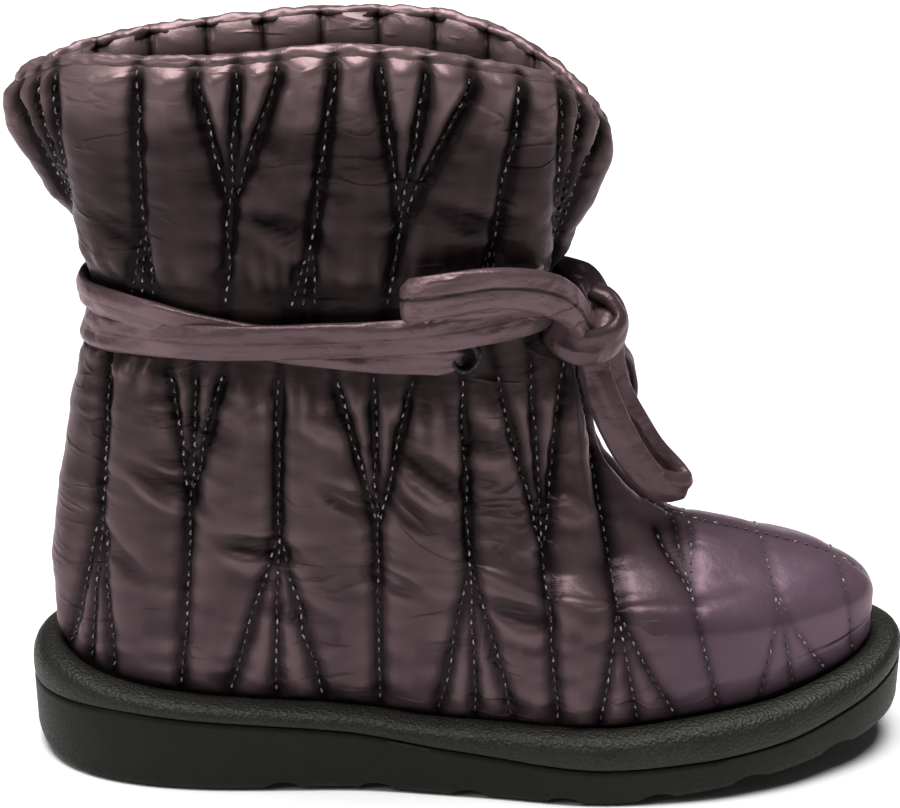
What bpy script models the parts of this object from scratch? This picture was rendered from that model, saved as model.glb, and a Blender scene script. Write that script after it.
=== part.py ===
"""Quilted winter boot: padded upper, two-layer sole, insole, collar binding and an ankle tie.

A right boot. Metres, toe to +X, outer side to -Y, +Z up, standing on z = 0.
"""
import math
from collections import namedtuple

import bmesh
import bpy
import numpy as np
from mathutils import Matrix, Vector
from mathutils.kdtree import KDTree

# Driving sizes
SOLE_LENGTH = 0.2838
BALL_WIDTH = 0.106
COLLAR_HEIGHT = 0.236
LEDGE_WIDTH = 0.0095
SEAT_DEPTH = 0.0025
WALL = 0.006
CLEARANCE = 0.0003
HEEL_ROUND = 6.0
TOE_ROUND = 5.0
VAMP_REACH = 0.45

# Outsole lugs
GROOVE_WIDTH = 0.0075
GROOVE_DEPTH = 0.0028
GROOVE_PITCH = 0.0293
GROOVE_FIRST = -0.058
GROOVE_COUNT = 7

# Quilting
PUFF = 0.0036
SEAM_WIDTH = 0.0050
TIE_BAND = 0.95

# Tie
TIE_WIDTH = 0.0110
TIE_THICK = 0.0036
EYELET_OUTER = 0.0053
EYELET_INNER = 0.0029
EYELET_THICK = 0.0014
EYELET_SHARE = 0.715
EYELET_HEIGHT = 0.1425

# Half widths of the sole as shares of the ball width, along shares of its length
Outline = namedtuple("Outline", "station lateral medial")
OUTLINE = (
    Outline(0.00, 0.398, 0.415),
    Outline(0.20, 0.416, 0.420),
    Outline(0.36, 0.408, 0.385),
    Outline(0.50, 0.446, 0.420),
    Outline(0.65, 0.500, 0.482),
    Outline(0.75, 0.486, 0.500),
    Outline(0.85, 0.447, 0.497),
    Outline(0.92, 0.400, 0.480),
    Outline(1.00, 0.368, 0.450),
)

# Heights of the sole's lines along its length: floor side, parting line, ledge at the upper
SoleLine = namedtuple("SoleLine", "station bottom parting ledge")
SOLE_LINES = (
    SoleLine(0.00, 0.0050, 0.0245, 0.0385),
    SoleLine(0.05, 0.0008, 0.0255, 0.0362),
    SoleLine(0.10, 0.0000, 0.0260, 0.0332),
    SoleLine(0.20, 0.0000, 0.0246, 0.0301),
    SoleLine(0.36, 0.0008, 0.0212, 0.0270),
    SoleLine(0.48, 0.0000, 0.0164, 0.0236),
    SoleLine(0.65, 0.0000, 0.0126, 0.0232),
    SoleLine(0.75, 0.0028, 0.0142, 0.0262),
    SoleLine(0.85, 0.0066, 0.0176, 0.0292),
    SoleLine(0.94, 0.0100, 0.0242, 0.0345),
    SoleLine(1.00, 0.0135, 0.0310, 0.0405),
)

# Rings of the upper from its tucked edge to the collar. back and front are shares of the sole
# length from its middle, the heights and rise are shares of the collar height, half is a share
# of the ball width. foot blends the sole outline into a plain oval, follow sets the ring on the
# ledge line plus lift, dip lowers the sides of the vamp, and the two rounds give the ends of the
# ring their fullness.
Ring = namedtuple("Ring", "back back_z front front_z rise dip half foot follow lift back_round front_round")
RINGS = (
    Ring(-0.459, 0.150, 0.459, 0.160, 0.000, 0.000, 0.390, 1.00, 1.0, -0.0022, 6.0, 5.0),
    Ring(-0.464, 0.165, 0.464, 0.175, 0.000, 0.000, 0.406, 1.00, 1.0, 0.0016, 6.0, 5.0),
    Ring(-0.466, 0.215, 0.461, 0.190, 0.000, 0.000, 0.429, 1.00, 1.0, 0.0100, 5.6, 4.6),
    Ring(-0.465, 0.280, 0.459, 0.220, 0.000, 0.008, 0.425, 1.00, 0.0, 0.0000, 5.2, 4.0),
    Ring(-0.457, 0.339, 0.419, 0.258, 0.000, 0.022, 0.410, 0.90, 0.0, 0.0000, 4.6, 3.3),
    Ring(-0.448, 0.394, 0.346, 0.286, 0.000, 0.042, 0.401, 0.75, 0.0, 0.0000, 4.0, 2.7),
    Ring(-0.438, 0.449, 0.253, 0.315, 0.000, 0.046, 0.396, 0.55, 0.0, 0.0000, 3.6, 2.3),
    Ring(-0.430, 0.500, 0.183, 0.362, 0.000, 0.030, 0.392, 0.35, 0.0, 0.0000, 3.3, 2.2),
    Ring(-0.421, 0.542, 0.141, 0.436, 0.000, 0.014, 0.387, 0.20, 0.0, 0.0000, 3.0, 2.2),
    Ring(-0.411, 0.581, 0.132, 0.513, 0.004, 0.004, 0.380, 0.08, 0.0, 0.0000, 2.8, 2.3),
    Ring(-0.402, 0.623, 0.112, 0.602, 0.016, 0.000, 0.366, 0.00, 0.0, 0.0000, 2.7, 2.4),
    Ring(-0.410, 0.678, 0.091, 0.670, 0.014, 0.000, 0.377, 0.00, 0.0, 0.0000, 2.6, 2.4),
    Ring(-0.416, 0.737, 0.104, 0.720, 0.022, 0.000, 0.392, 0.00, 0.0, 0.0000, 2.6, 2.4),
    Ring(-0.443, 0.801, 0.129, 0.780, 0.042, 0.000, 0.407, 0.00, 0.0, 0.0000, 2.5, 2.4),
    Ring(-0.479, 0.877, 0.147, 0.832, 0.074, 0.000, 0.417, 0.00, 0.0, 0.0000, 2.5, 2.4),
    Ring(-0.480, 0.902, 0.145, 0.857, 0.0915, 0.000, 0.412, 0.00, 0.0, 0.0000, 2.5, 2.4),
)

# How the rise of a ring is shared from its back to its front on both sides
CollarLine = namedtuple("CollarLine", "station lateral medial")
COLLAR_LINE = (
    CollarLine(0.00, 0.00, 0.00),
    CollarLine(0.12, 0.52, 0.26),
    CollarLine(0.35, 0.72, 0.58),
    CollarLine(0.61, 1.00, 0.84),
    CollarLine(0.70, 0.95, 0.86),
    CollarLine(0.80, 0.83, 0.77),
    CollarLine(0.92, 0.59, 0.43),
    CollarLine(1.00, 0.00, 0.00),
)
FEATHER = 1.2
WAIST = 10.0
RIM = float(len(RINGS) - 1)

# Quilting seams of one half, by their places along the boot at both ends and the rings they run
# between. Each is one line that opens into a fan of three at one end, from the apex share on.
Seam = namedtuple("Seam", "low high start end apex spread fan_low")
SEAMS = (
    Seam(-0.200, -0.200, 10.0, 15.0, 0.50, 0.0000, True),
    Seam(-0.113, -0.125, 10.0, 15.0, 0.52, 0.0060, False),
    Seam(-0.0965, -0.0935, 10.0, 15.0, 0.45, 0.0055, True),
    Seam(-0.072, -0.065, 10.0, 15.0, 0.56, 0.0115, False),
    Seam(-0.050, -0.038, 10.0, 15.0, 0.44, 0.0055, True),
    Seam(-0.026, -0.012, 10.0, 15.0, 0.50, 0.0130, False),
    Seam(0.0020, 0.0150, 10.0, 15.0, 0.44, 0.0055, True),
    Seam(0.022, 0.033, 10.0, 15.0, 0.40, 0.0060, False),
    Seam(0.200, 0.200, 10.0, 15.0, 0.50, 0.0000, True),
    Seam(-0.200, -0.200, 1.5, 10.0, 0.50, 0.0000, True),
    Seam(-0.120, -0.107, 1.5, 10.0, 0.42, 0.0080, True),
    Seam(-0.090, -0.080, 1.5, 10.0, 0.55, 0.0100, False),
    Seam(-0.060, -0.0556, 1.5, 10.0, 0.45, 0.0150, True),
    Seam(-0.0275, -0.028, 1.5, 10.0, 0.55, 0.0140, False),
    Seam(0.0025, -0.002, 1.5, 10.0, 0.42, 0.0120, True),
    Seam(0.028, 0.018, 1.5, 10.0, 0.64, 0.0120, False),
    Seam(0.053, 0.0335, 1.5, 9.5, 0.43, 0.0120, True),
    Seam(0.0786, 0.065, 1.5, 6.35, 0.70, 0.0060, False),
    Seam(0.103, 0.094, 1.5, 5.2, 0.75, 0.0115, True),
    Seam(0.124, 0.118, 1.5, 4.2, 0.50, 0.0000, True),
    Seam(0.200, 0.200, 2.2, 10.0, 0.50, 0.0000, True),
)

# Routes of the tie around the ankle: turn is -1 at the front by the outer side, 0 at the back
# and 1 at the front by the inner side; lift is the gap under the strand
Wrap = namedtuple("Wrap", "turn height lift")
OVER_STRAND = (
    Wrap(-0.930, 0.1500, 0.0010),
    Wrap(-0.880, 0.1515, 0.0008),
    Wrap(-0.700, 0.1515, 0.0034),
    Wrap(-0.550, 0.1510, 0.0034),
    Wrap(-0.330, 0.1495, 0.0034),
    Wrap(-0.180, 0.1470, 0.0010),
    Wrap(0.000, 0.1425, 0.0008),
    Wrap(0.250, 0.1440, 0.0008),
    Wrap(0.500, 0.1440, 0.0008),
    Wrap(0.665, 0.1425, 0.0008),
)
UNDER_STRAND = (
    Wrap(-0.665, 0.1435, 0.0008),
    Wrap(-0.550, 0.1455, 0.0008),
    Wrap(-0.330, 0.1510, 0.0008),
    Wrap(-0.150, 0.1560, 0.0008),
    Wrap(0.000, 0.1545, 0.0008),
    Wrap(0.250, 0.1560, 0.0008),
    Wrap(0.500, 0.1570, 0.0008),
    Wrap(0.750, 0.1565, 0.0008),
    Wrap(0.940, 0.1560, 0.0008),
)

# Free parts of the bow: places of the centre line and the way the ribbon faces there
Bow = namedtuple("Bow", "x y z face_x face_y face_z")
LATERAL_LOOP = (
    Bow(0.0350, -0.0225, 0.1500, 0.65, -0.70, 0.30),
    Bow(0.0300, -0.0300, 0.1570, 0.62, -0.75, 0.25),
    Bow(0.0190, -0.0395, 0.1635, 0.55, -0.80, 0.20),
    Bow(0.0050, -0.0470, 0.1665, 0.40, -0.90, 0.12),
    Bow(-0.0080, -0.0515, 0.1665, 0.15, -0.98, 0.10),
    Bow(-0.0165, -0.0520, 0.1655, -0.85, -0.50, 0.10),
    Bow(-0.0160, -0.0480, 0.1645, -0.60, 0.80, 0.05),
    Bow(-0.0060, -0.0466, 0.1640, -0.20, 0.98, 0.00),
    Bow(0.0080, -0.0412, 0.1630, -0.45, 0.88, 0.00),
    Bow(0.0220, -0.0310, 0.1600, -0.60, 0.78, 0.00),
)
FRONT_LOOP = (
    Bow(0.0390, -0.0165, 0.1295, -0.10, -0.95, 0.30),
    Bow(0.0402, -0.0180, 0.1240, -0.10, -0.95, 0.30),
    Bow(0.0443, -0.0190, 0.1140, -0.10, -0.95, 0.30),
    Bow(0.0497, -0.0190, 0.1040, -0.05, -0.95, 0.30),
    Bow(0.0575, -0.0170, 0.0945, 0.10, -0.93, 0.25),
    Bow(0.0670, -0.0120, 0.0910, 0.80, -0.40, -0.40),
    Bow(0.0655, -0.0068, 0.0930, 0.60, 0.60, -0.20),
    Bow(0.0575, -0.0050, 0.1010, 0.20, 0.93, -0.20),
    Bow(0.0515, -0.0050, 0.1105, 0.15, 0.95, -0.25),
    Bow(0.0462, -0.0050, 0.1210, 0.10, 0.95, -0.25),
    Bow(0.0440, -0.0052, 0.1290, 0.10, 0.95, -0.25),
)
KNOT_ARCH = (
    Bow(0.0290, 0.0120, 0.1570, 0.40, -0.25, 0.85),
    Bow(0.0330, 0.0060, 0.1580, 0.50, -0.40, 0.75),
    Bow(0.0375, 0.0000, 0.1545, 0.65, -0.50, 0.60),
    Bow(0.0405, -0.0045, 0.1490, 0.75, -0.55, 0.35),
    Bow(0.0415, -0.0080, 0.1440, 0.80, -0.55, 0.20),
)
KNOT_END = (
    Bow(0.0440, -0.0020, 0.1380, 0.90, 0.20, 0.30),
    Bow(0.0490, 0.0050, 0.1300, 0.90, 0.20, 0.35),
    Bow(0.0515, 0.0095, 0.1200, 0.90, 0.20, 0.30),
    Bow(0.0520, 0.0110, 0.1105, 0.95, 0.20, 0.20),
)
KNOT_CENTRE = (0.0415, -0.0085, 0.1415)
KNOT_SIZE = (0.0080, 0.0115, 0.0095)

# Mesh counts
SOLE_COUNT = 72
UPPER_COUNT = 104
INNER_SHARE = 4
UPPER_ROWS = 28
INNER_ROWS = 10
BINDING_SIDES = 6
RIBBON_SIDES = 6

Colour = namedtuple("Colour", "red green blue roughness metallic")
COLOURS = {
    "outsole_rubber": Colour(0.022, 0.023, 0.022, 0.62, 0.0),
    "midsole_foam": Colour(0.026, 0.028, 0.026, 0.70, 0.0),
    "insole_fleece": Colour(0.050, 0.035, 0.040, 0.95, 0.0),
    "quilted_nylon": Colour(0.085, 0.048, 0.062, 0.42, 0.0),
    "binding_nylon": Colour(0.080, 0.046, 0.058, 0.45, 0.0),
    "tie_nylon": Colour(0.078, 0.044, 0.056, 0.45, 0.0),
    "eyelet_metal": Colour(0.020, 0.020, 0.021, 0.35, 0.9),
}


def curve(stations, values, at):
    """Smooth curve through a short column, with no overshoot between its rows."""
    x = np.asarray(stations, float)
    y = np.asarray(values, float)
    step = np.diff(x)
    slope = np.diff(y) / step
    tangent = np.zeros_like(y)
    tangent[0] = slope[0]
    tangent[-1] = slope[-1]
    for i in range(1, len(y) - 1):
        if slope[i - 1] * slope[i] > 0.0:
            tangent[i] = 2.0 * slope[i - 1] * slope[i] / (slope[i - 1] + slope[i])
    at = np.clip(np.asarray(at, float), x[0], x[-1])
    i = np.clip(np.searchsorted(x, at, side="right") - 1, 0, len(step) - 1)
    u = (at - x[i]) / step[i]
    rise = u * u * (3.0 - 2.0 * u)
    ease_in = u * (1.0 - u) ** 2 * step[i] * tangent[i]
    ease_out = u * u * (u - 1.0) * step[i] * tangent[i + 1]
    return y[i] * (1.0 - rise) + y[i + 1] * rise + ease_in + ease_out


def column(table, name):
    return [getattr(row, name) for row in table]


def route(table, count):
    """Even points of a smooth curve through the rows of a route, one array per column."""
    rows = np.array(table, float)
    reach = np.linalg.norm(np.diff(rows[:, :3], axis=0), axis=1)
    along = np.concatenate([[0.0], np.cumsum(reach)])
    knots = np.vstack([2 * rows[0] - rows[1], rows, 2 * rows[-1] - rows[-2]])
    at = np.linspace(0.0, along[-1], count)
    i = np.clip(np.searchsorted(along, at, side="right") - 1, 0, len(rows) - 2)
    u = ((at - along[i]) / reach[i])[:, None]
    before, start, end, after = knots[i], knots[i + 1], knots[i + 2], knots[i + 3]
    bend = 2 * before - 5 * start + 4 * end - after
    twist = -before + 3 * start - 3 * end + after
    return start + 0.5 * u * (end - before + u * (bend + u * twist))


def end_round(s, back_round, front_round):
    power = np.where(s < 0.5, back_round, front_round)
    return np.sqrt(np.maximum(0.0, 1.0 - np.abs(2.0 * s - 1.0) ** power))


def half_width(s, side):
    """Half width of the foot outline on one side, as a share of its widest place."""
    name = "lateral" if side < 0 else "medial"
    return 2.0 * curve(column(OUTLINE, "station"), column(OUTLINE, name), s)


def sole_line(name, x):
    s = x / SOLE_LENGTH + 0.5
    return curve(column(SOLE_LINES, "station"), column(SOLE_LINES, name), s)


def sole_outline(count, inset):
    """Plan of the sole edge, from the heel along the outer side to the toe and back."""
    turn = np.linspace(0.0, math.pi, 400)
    s = 0.5 - 0.5 * np.cos(turn)
    full = end_round(s, HEEL_ROUND, TOE_ROUND) * BALL_WIDTH * 0.5
    x = SOLE_LENGTH * (s - 0.5)
    halves = []
    for side in (-1.0, 1.0):
        plan = np.column_stack([x, side * full * half_width(s, side)])
        along = np.concatenate([[0.0], np.cumsum(np.linalg.norm(np.diff(plan, axis=0), axis=1))])
        even = np.linspace(0.0, along[-1], count // 2 + 1)
        halves.append(np.column_stack([np.interp(even, along, plan[:, i]) for i in range(2)]))
    ring = np.vstack([halves[0], halves[1][-2:0:-1]])
    tangent = np.roll(ring, -1, axis=0) - np.roll(ring, 1, axis=0)
    normal = np.column_stack([-tangent[:, 1], tangent[:, 0]])
    normal /= np.linalg.norm(normal, axis=1)[:, None]
    return ring + normal * inset


def section(level):
    """One ring's sizes at any level between the rows of the table."""
    rows = np.arange(len(RINGS))
    return Ring(*[float(curve(rows, column(RINGS, name), level)) for name in Ring._fields])


def half_ring(level, side, shares):
    """Points of one half of a ring, back to front, at shares of its own girth."""
    cut = section(level)
    s = 0.5 - 0.5 * np.cos(np.linspace(0.0, math.pi, 240))
    oval = BALL_WIDTH * cut.half
    foot = BALL_WIDTH * (0.5 * half_width(s, side) + cut.half - 0.5)
    width = cut.foot * foot + (1.0 - cut.foot) * oval
    x = SOLE_LENGTH * (cut.back + (cut.front - cut.back) * s)
    y = side * width * end_round(s, cut.back_round, cut.front_round)
    name = "lateral" if side < 0 else "medial"
    rise = cut.rise * curve(column(COLLAR_LINE, "station"), column(COLLAR_LINE, name), s)
    vamp = np.clip((1.0 - s) / VAMP_REACH, 0.0, 1.0)
    free = cut.back_z + (cut.front_z - cut.back_z) * s + rise - cut.dip * 4.0 * vamp * (1.0 - vamp)
    seated = sole_line("ledge", x) + cut.lift
    z = cut.follow * seated + (1.0 - cut.follow) * COLLAR_HEIGHT * free
    ring = np.column_stack([x, y, z])
    along = np.concatenate([[0.0], np.cumsum(np.linalg.norm(np.diff(ring, axis=0), axis=1))])
    return np.column_stack([np.interp(shares, along / along[-1], ring[:, i]) for i in range(3)])


def base_grid(levels, count):
    """Rings of the plain upper: an array of levels by points around."""
    shares = np.linspace(0.0, 1.0, count // 2 + 1)
    rings = []
    for level in levels:
        outer = half_ring(level, -1.0, shares)
        inner = half_ring(level, 1.0, shares)
        rings.append(np.vstack([outer, inner[-2:0:-1]]))
    return np.array(rings)


def grid_normals(grid):
    around = np.roll(grid, -1, axis=1) - np.roll(grid, 1, axis=1)
    upward = np.gradient(grid, axis=0)
    normal = np.cross(around, upward)
    return normal / np.linalg.norm(normal, axis=2)[:, :, None]


def place_at(level, side, x):
    """The point of a half ring at a place along the boot."""
    shares = np.linspace(0.0, 1.0, 81)
    ring = half_ring(level, side, shares)
    return half_ring(level, side, [np.interp(x, ring[:, 0], shares)])[0]


def seam_points():
    """Points along every quilting seam of both halves."""
    points = []
    for seam in SEAMS:
        for offset in (-1.0, 0.0, 1.0) if seam.spread else (0.0,):
            for u in np.linspace(0.0, 1.0, 40):
                opened = (seam.apex - u) / seam.apex if seam.fan_low else (u - seam.apex) / (1.0 - seam.apex)
                x = seam.low + (seam.high - seam.low) * u + offset * seam.spread * max(0.0, opened)
                level = seam.start + (seam.end - seam.start) * u
                points += [place_at(level, side, x) for side in (-1.0, 1.0)]
    return points


def upper_grid(levels, count):
    """Outer face of the upper, puffed out between the seams and drawn in at the tie."""
    grid = base_grid(levels, count)
    normal = grid_normals(grid)
    points = seam_points()
    tree = KDTree(len(points))
    for i, point in enumerate(points):
        tree.insert(point, i)
    tree.balance()
    for i, level in enumerate(levels):
        foot = np.clip((level - FEATHER) / 1.6, 0.0, 1.0)
        tie = np.clip((abs(level - WAIST - 0.1) - TIE_BAND) / 0.8, 0.0, 1.0)
        collar = np.clip((RIM - level) / 0.7, 0.0, 1.0)
        for j in range(count):
            gap = tree.find(grid[i, j])[2]
            puff = PUFF * foot * tie * collar * (1.0 - math.exp(-(gap / SEAM_WIDTH) ** 2))
            grid[i, j] += normal[i, j] * puff
    return grid


def make_object(name, bm, material):
    bmesh.ops.recalc_face_normals(bm, faces=bm.faces)
    mesh = bpy.data.meshes.new(name)
    bm.to_mesh(mesh)
    bm.free()
    obj = bpy.data.objects.new(name, mesh)
    obj.data.materials.append(MATERIALS[material])
    PARTS.objects.link(obj)
    return obj


def make_cutter(name, bm):
    mesh = bpy.data.meshes.new(name)
    bm.to_mesh(mesh)
    bm.free()
    obj = bpy.data.objects.new(name, mesh)
    obj.hide_render = True
    obj.display_type = "WIRE"
    CUTTERS.objects.link(obj)
    return obj


def boolean(obj, other, operation):
    step = obj.modifiers.new(operation.title(), "BOOLEAN")
    step.operation = operation
    step.solver = "EXACT"
    step.object = other


def add_rings(bm, rings, closed=False):
    """Quads between neighbouring rings of equal counts."""
    verts = [[bm.verts.new(point) for point in ring] for ring in rings]
    pairs = list(zip(verts, verts[1:]))
    if closed:
        pairs.append((verts[-1], verts[0]))
    for low, high in pairs:
        for i in range(len(low)):
            k = (i + 1) % len(low)
            bm.faces.new((low[i], low[k], high[k], high[i]))
    return verts


def cap_across(bm, ring):
    """Close a long ring with faces from its outer side to its inner side."""
    count = len(ring)
    for i in range(count // 2):
        corners = (ring[i], ring[i + 1], ring[(count - i - 1) % count], ring[(count - i) % count])
        unique = list(dict.fromkeys(corners))
        bm.faces.new(unique)


def sole_ring(inset, line, lift):
    plan = sole_outline(SOLE_COUNT, inset)
    return np.column_stack([plan, sole_line(line, plan[:, 0]) + lift])


def groove_cutter():
    bm = bmesh.new()
    for k in range(GROOVE_COUNT):
        x = GROOVE_FIRST + k * GROOVE_PITCH
        floor = float(sole_line("bottom", x))
        reach = GROOVE_DEPTH + 0.02
        place = Matrix.Translation((x, 0.0, floor + GROOVE_DEPTH - reach / 2))
        slope = math.atan((sole_line("bottom", x + 0.005) - sole_line("bottom", x - 0.005)) / 0.01)
        tip = Matrix.Rotation(-slope, 4, "Y")
        size = Matrix.Diagonal((GROOVE_WIDTH, BALL_WIDTH * 1.4, reach, 1.0))
        bmesh.ops.create_cube(bm, size=1.0, matrix=place @ tip @ size)
    return make_cutter("outsole_grooves", bm)


def channel_cutter():
    bm = bmesh.new()
    place = Matrix.Translation((GROOVE_FIRST + 1.5 * GROOVE_PITCH, 0.0, GROOVE_DEPTH - 0.010))
    size = Matrix.Diagonal((3.0 * GROOVE_PITCH, GROOVE_WIDTH, 0.020, 1.0))
    bmesh.ops.create_cube(bm, size=1.0, matrix=place @ size)
    return make_cutter("outsole_channel", bm)


def build_outsole():
    bm = bmesh.new()
    rings = add_rings(bm, [
        sole_ring(0.0024, "bottom", 0.0),
        sole_ring(0.0010, "bottom", 0.0008),
        sole_ring(0.0004, "bottom", 0.0030),
        sole_ring(0.0002, "parting", -0.0020),
        sole_ring(0.0012, "parting", -0.0005),
    ])
    cap_across(bm, rings[0])
    cap_across(bm, rings[-1])
    outsole = make_object("outsole", bm, "outsole_rubber")
    boolean(outsole, groove_cutter(), "DIFFERENCE")
    boolean(outsole, channel_cutter(), "DIFFERENCE")


def band_ring(inset, share):
    """A ring of the midsole's rounded side, at a share of the height from parting to ledge."""
    plan = sole_outline(SOLE_COUNT, inset)
    low = sole_line("parting", plan[:, 0])
    high = sole_line("ledge", plan[:, 0])
    return np.column_stack([plan, low + (high - low) * share])


def build_midsole():
    bm = bmesh.new()
    rings = add_rings(bm, [
        sole_ring(0.0012, "parting", CLEARANCE - 0.0005),
        sole_ring(0.0002, "parting", 0.0010),
        band_ring(0.0002, 0.42),
        band_ring(0.0012, 0.70),
        band_ring(0.0034, 0.88),
        band_ring(LEDGE_WIDTH - 0.0008, 1.0),
        sole_ring(LEDGE_WIDTH + 0.0008, "ledge", -0.0008),
        sole_ring(LEDGE_WIDTH + 0.0012, "ledge", -SEAT_DEPTH),
    ])
    cap_across(bm, rings[0])
    cap_across(bm, rings[-1])
    make_object("midsole", bm, "midsole_foam")


def build_insole():
    inset = LEDGE_WIDTH + WALL + 0.0048
    bm = bmesh.new()
    rings = add_rings(bm, [
        sole_ring(inset + 0.0006, "ledge", CLEARANCE - SEAT_DEPTH),
        sole_ring(inset, "ledge", 0.0008 - SEAT_DEPTH),
        sole_ring(inset, "ledge", 0.0032 - SEAT_DEPTH),
        sole_ring(inset + 0.0012, "ledge", 0.0042 - SEAT_DEPTH),
    ])
    cap_across(bm, rings[0])
    cap_across(bm, rings[-1])
    make_object("insole", bm, "insole_fleece")


def inner_grid(levels, count):
    grid = base_grid(levels, count)
    inner = grid - grid_normals(grid) * WALL
    inner[0, :, 2] = grid[0, :, 2]
    inner[-1, :, 2] = grid[-1, :, 2]
    return inner


def join_unlike(bm, fine, coarse):
    """Faces between a fine ring and a ring with a whole share of its points."""
    step = len(fine) // len(coarse)
    for j in range(len(coarse)):
        run = [fine[(j * step + i) % len(fine)] for i in range(step + 1)]
        bm.faces.new(run + [coarse[(j + 1) % len(coarse)], coarse[j]])


def build_upper():
    bm = bmesh.new()
    levels = np.linspace(0.0, RIM, UPPER_ROWS)
    outer = add_rings(bm, upper_grid(levels, UPPER_COUNT))
    inner_levels = np.linspace(0.0, RIM, INNER_ROWS)
    inner = add_rings(bm, inner_grid(inner_levels, UPPER_COUNT // INNER_SHARE))
    join_unlike(bm, outer[0], inner[0])
    join_unlike(bm, outer[-1], inner[-1])
    upper = make_object("upper", bm, "quilted_nylon")
    boolean(upper, eyelet_cutter(), "DIFFERENCE")


def build_binding():
    """The rolled edge on top of the wall: an oval section led around the rim."""
    count = UPPER_COUNT // 2
    rim = base_grid([RIM - 0.02, RIM], count)
    out = grid_normals(rim)[1]
    out[:, 2] = 0.0
    out /= np.linalg.norm(out, axis=1)[:, None]
    middle = rim[1] - out * WALL * 0.45
    middle[:, 2] += 0.0037 + 3.5 * CLEARANCE
    rings = []
    for k in range(BINDING_SIDES):
        angle = 2.0 * math.pi * (k + 0.5) / BINDING_SIDES - math.pi / 2
        rise = np.zeros_like(out)
        rise[:, 2] = 0.0037 * math.sin(angle)
        rings.append(middle + out * 0.0042 * math.cos(angle) + rise)
    bm = bmesh.new()
    add_rings(bm, rings, closed=True)
    make_object("collar_binding", bm, "binding_nylon")


def ankle_place(turn, height):
    """The plain upper's point at a height on a half, with its outward direction."""
    side = -1.0 if turn < 0.0 else 1.0
    share = min(abs(turn), 1.0)
    levels = np.linspace(7.0, 13.0, 25)
    heights = [half_ring(level, side, [share])[0][2] for level in levels]
    level = float(np.interp(height, heights, levels))
    here = half_ring(level, side, [share])[0]
    above = half_ring(level + 0.15, side, [share])[0]
    ahead = half_ring(level, side, [min(share + 0.01, 1.0)])[0]
    behind = half_ring(level, side, [max(share - 0.01, 0.0)])[0]
    out = np.cross(ahead - behind, above - here) * -side
    return here, out / np.linalg.norm(out)


def eyelet_frame(side):
    here, out = ankle_place(side * EYELET_SHARE, EYELET_HEIGHT)
    turn = Vector(out).to_track_quat("Z", "Y").to_matrix().to_4x4()
    return Matrix.Translation(here) @ turn


def eyelet_cutter():
    bm = bmesh.new()
    for side in (-1.0, 1.0):
        radius = EYELET_INNER + 0.0004
        bmesh.ops.create_cone(bm, cap_ends=True, segments=12, radius1=radius, radius2=radius,
                              depth=0.030, matrix=eyelet_frame(side))
    return make_cutter("eyelet_holes", bm)


def build_eyelet(name, side):
    """A ring with a rounded top, lying on the wall around its hole."""
    profile = (
        (EYELET_INNER, 0.0),
        (EYELET_OUTER, 0.0),
        (EYELET_OUTER - 0.0003, EYELET_THICK * 0.6),
        ((EYELET_INNER + EYELET_OUTER) / 2, EYELET_THICK),
        (EYELET_INNER + 0.0003, EYELET_THICK * 0.6),
    )
    frame = eyelet_frame(side) @ Matrix.Translation((0.0, 0.0, 0.0011))
    rings = []
    for radius, height in profile:
        angles = np.linspace(0.0, 2.0 * math.pi, 16, endpoint=False)
        rings.append([frame @ Vector((radius * math.cos(a), radius * math.sin(a), height)) for a in angles])
    bm = bmesh.new()
    add_rings(bm, rings, closed=True)
    make_object(name, bm, "eyelet_metal")


def ribbon(bm, centres, faces):
    """A flattened tube along a line, with the way it faces given at each place."""
    along = np.gradient(centres, axis=0)
    along /= np.linalg.norm(along, axis=1)[:, None]
    across = np.cross(along, faces)
    across /= np.linalg.norm(across, axis=1)[:, None]
    facing = np.cross(across, along)
    rings = []
    for here, wide, thick in zip(centres, across, facing):
        ring = []
        for k in range(RIBBON_SIDES):
            angle = 2.0 * math.pi * (k + 0.5) / RIBBON_SIDES
            u = math.copysign(abs(math.cos(angle)) ** 0.7, math.cos(angle))
            v = math.copysign(abs(math.sin(angle)) ** 0.8, math.sin(angle))
            ring.append(here + wide * u * TIE_WIDTH / 2 + thick * v * TIE_THICK / 2)
        rings.append(ring)
    verts = add_rings(bm, rings)
    bm.faces.new(verts[0])
    bm.faces.new(verts[-1])


def strand(table, count):
    """Centre line of a strand around the ankle and the way it faces."""
    rows = np.array(table)
    turns = np.linspace(rows[0, 0], rows[-1, 0], count)
    centres = []
    faces = []
    for turn in turns:
        height = float(curve(rows[:, 0], rows[:, 1], turn))
        lift = float(curve(rows[:, 0], rows[:, 2], turn))
        here, out = ankle_place(turn, height)
        centres.append(here + out * (lift + TIE_THICK / 2))
        faces.append(out)
    return np.array(centres), np.array(faces)


def ribbon_cutter(name, centres, faces):
    bm = bmesh.new()
    ribbon(bm, centres, faces)
    bmesh.ops.recalc_face_normals(bm, faces=bm.faces)
    return make_cutter(name, bm)


def build_tie_wrap():
    """Both strands around the ankle, joined where one lies over the other."""
    bm = bmesh.new()
    ribbon(bm, *strand(OVER_STRAND, 40))
    wrap = make_object("tie_wrap", bm, "tie_nylon")
    boolean(wrap, ribbon_cutter("tie_under_strand", *strand(UNDER_STRAND, 38)), "UNION")


def build_bow_piece(name, table, count):
    line = route(table, count)
    bm = bmesh.new()
    ribbon(bm, line[:, :3], line[:, 3:])
    make_object(name, bm, "tie_nylon")


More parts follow.
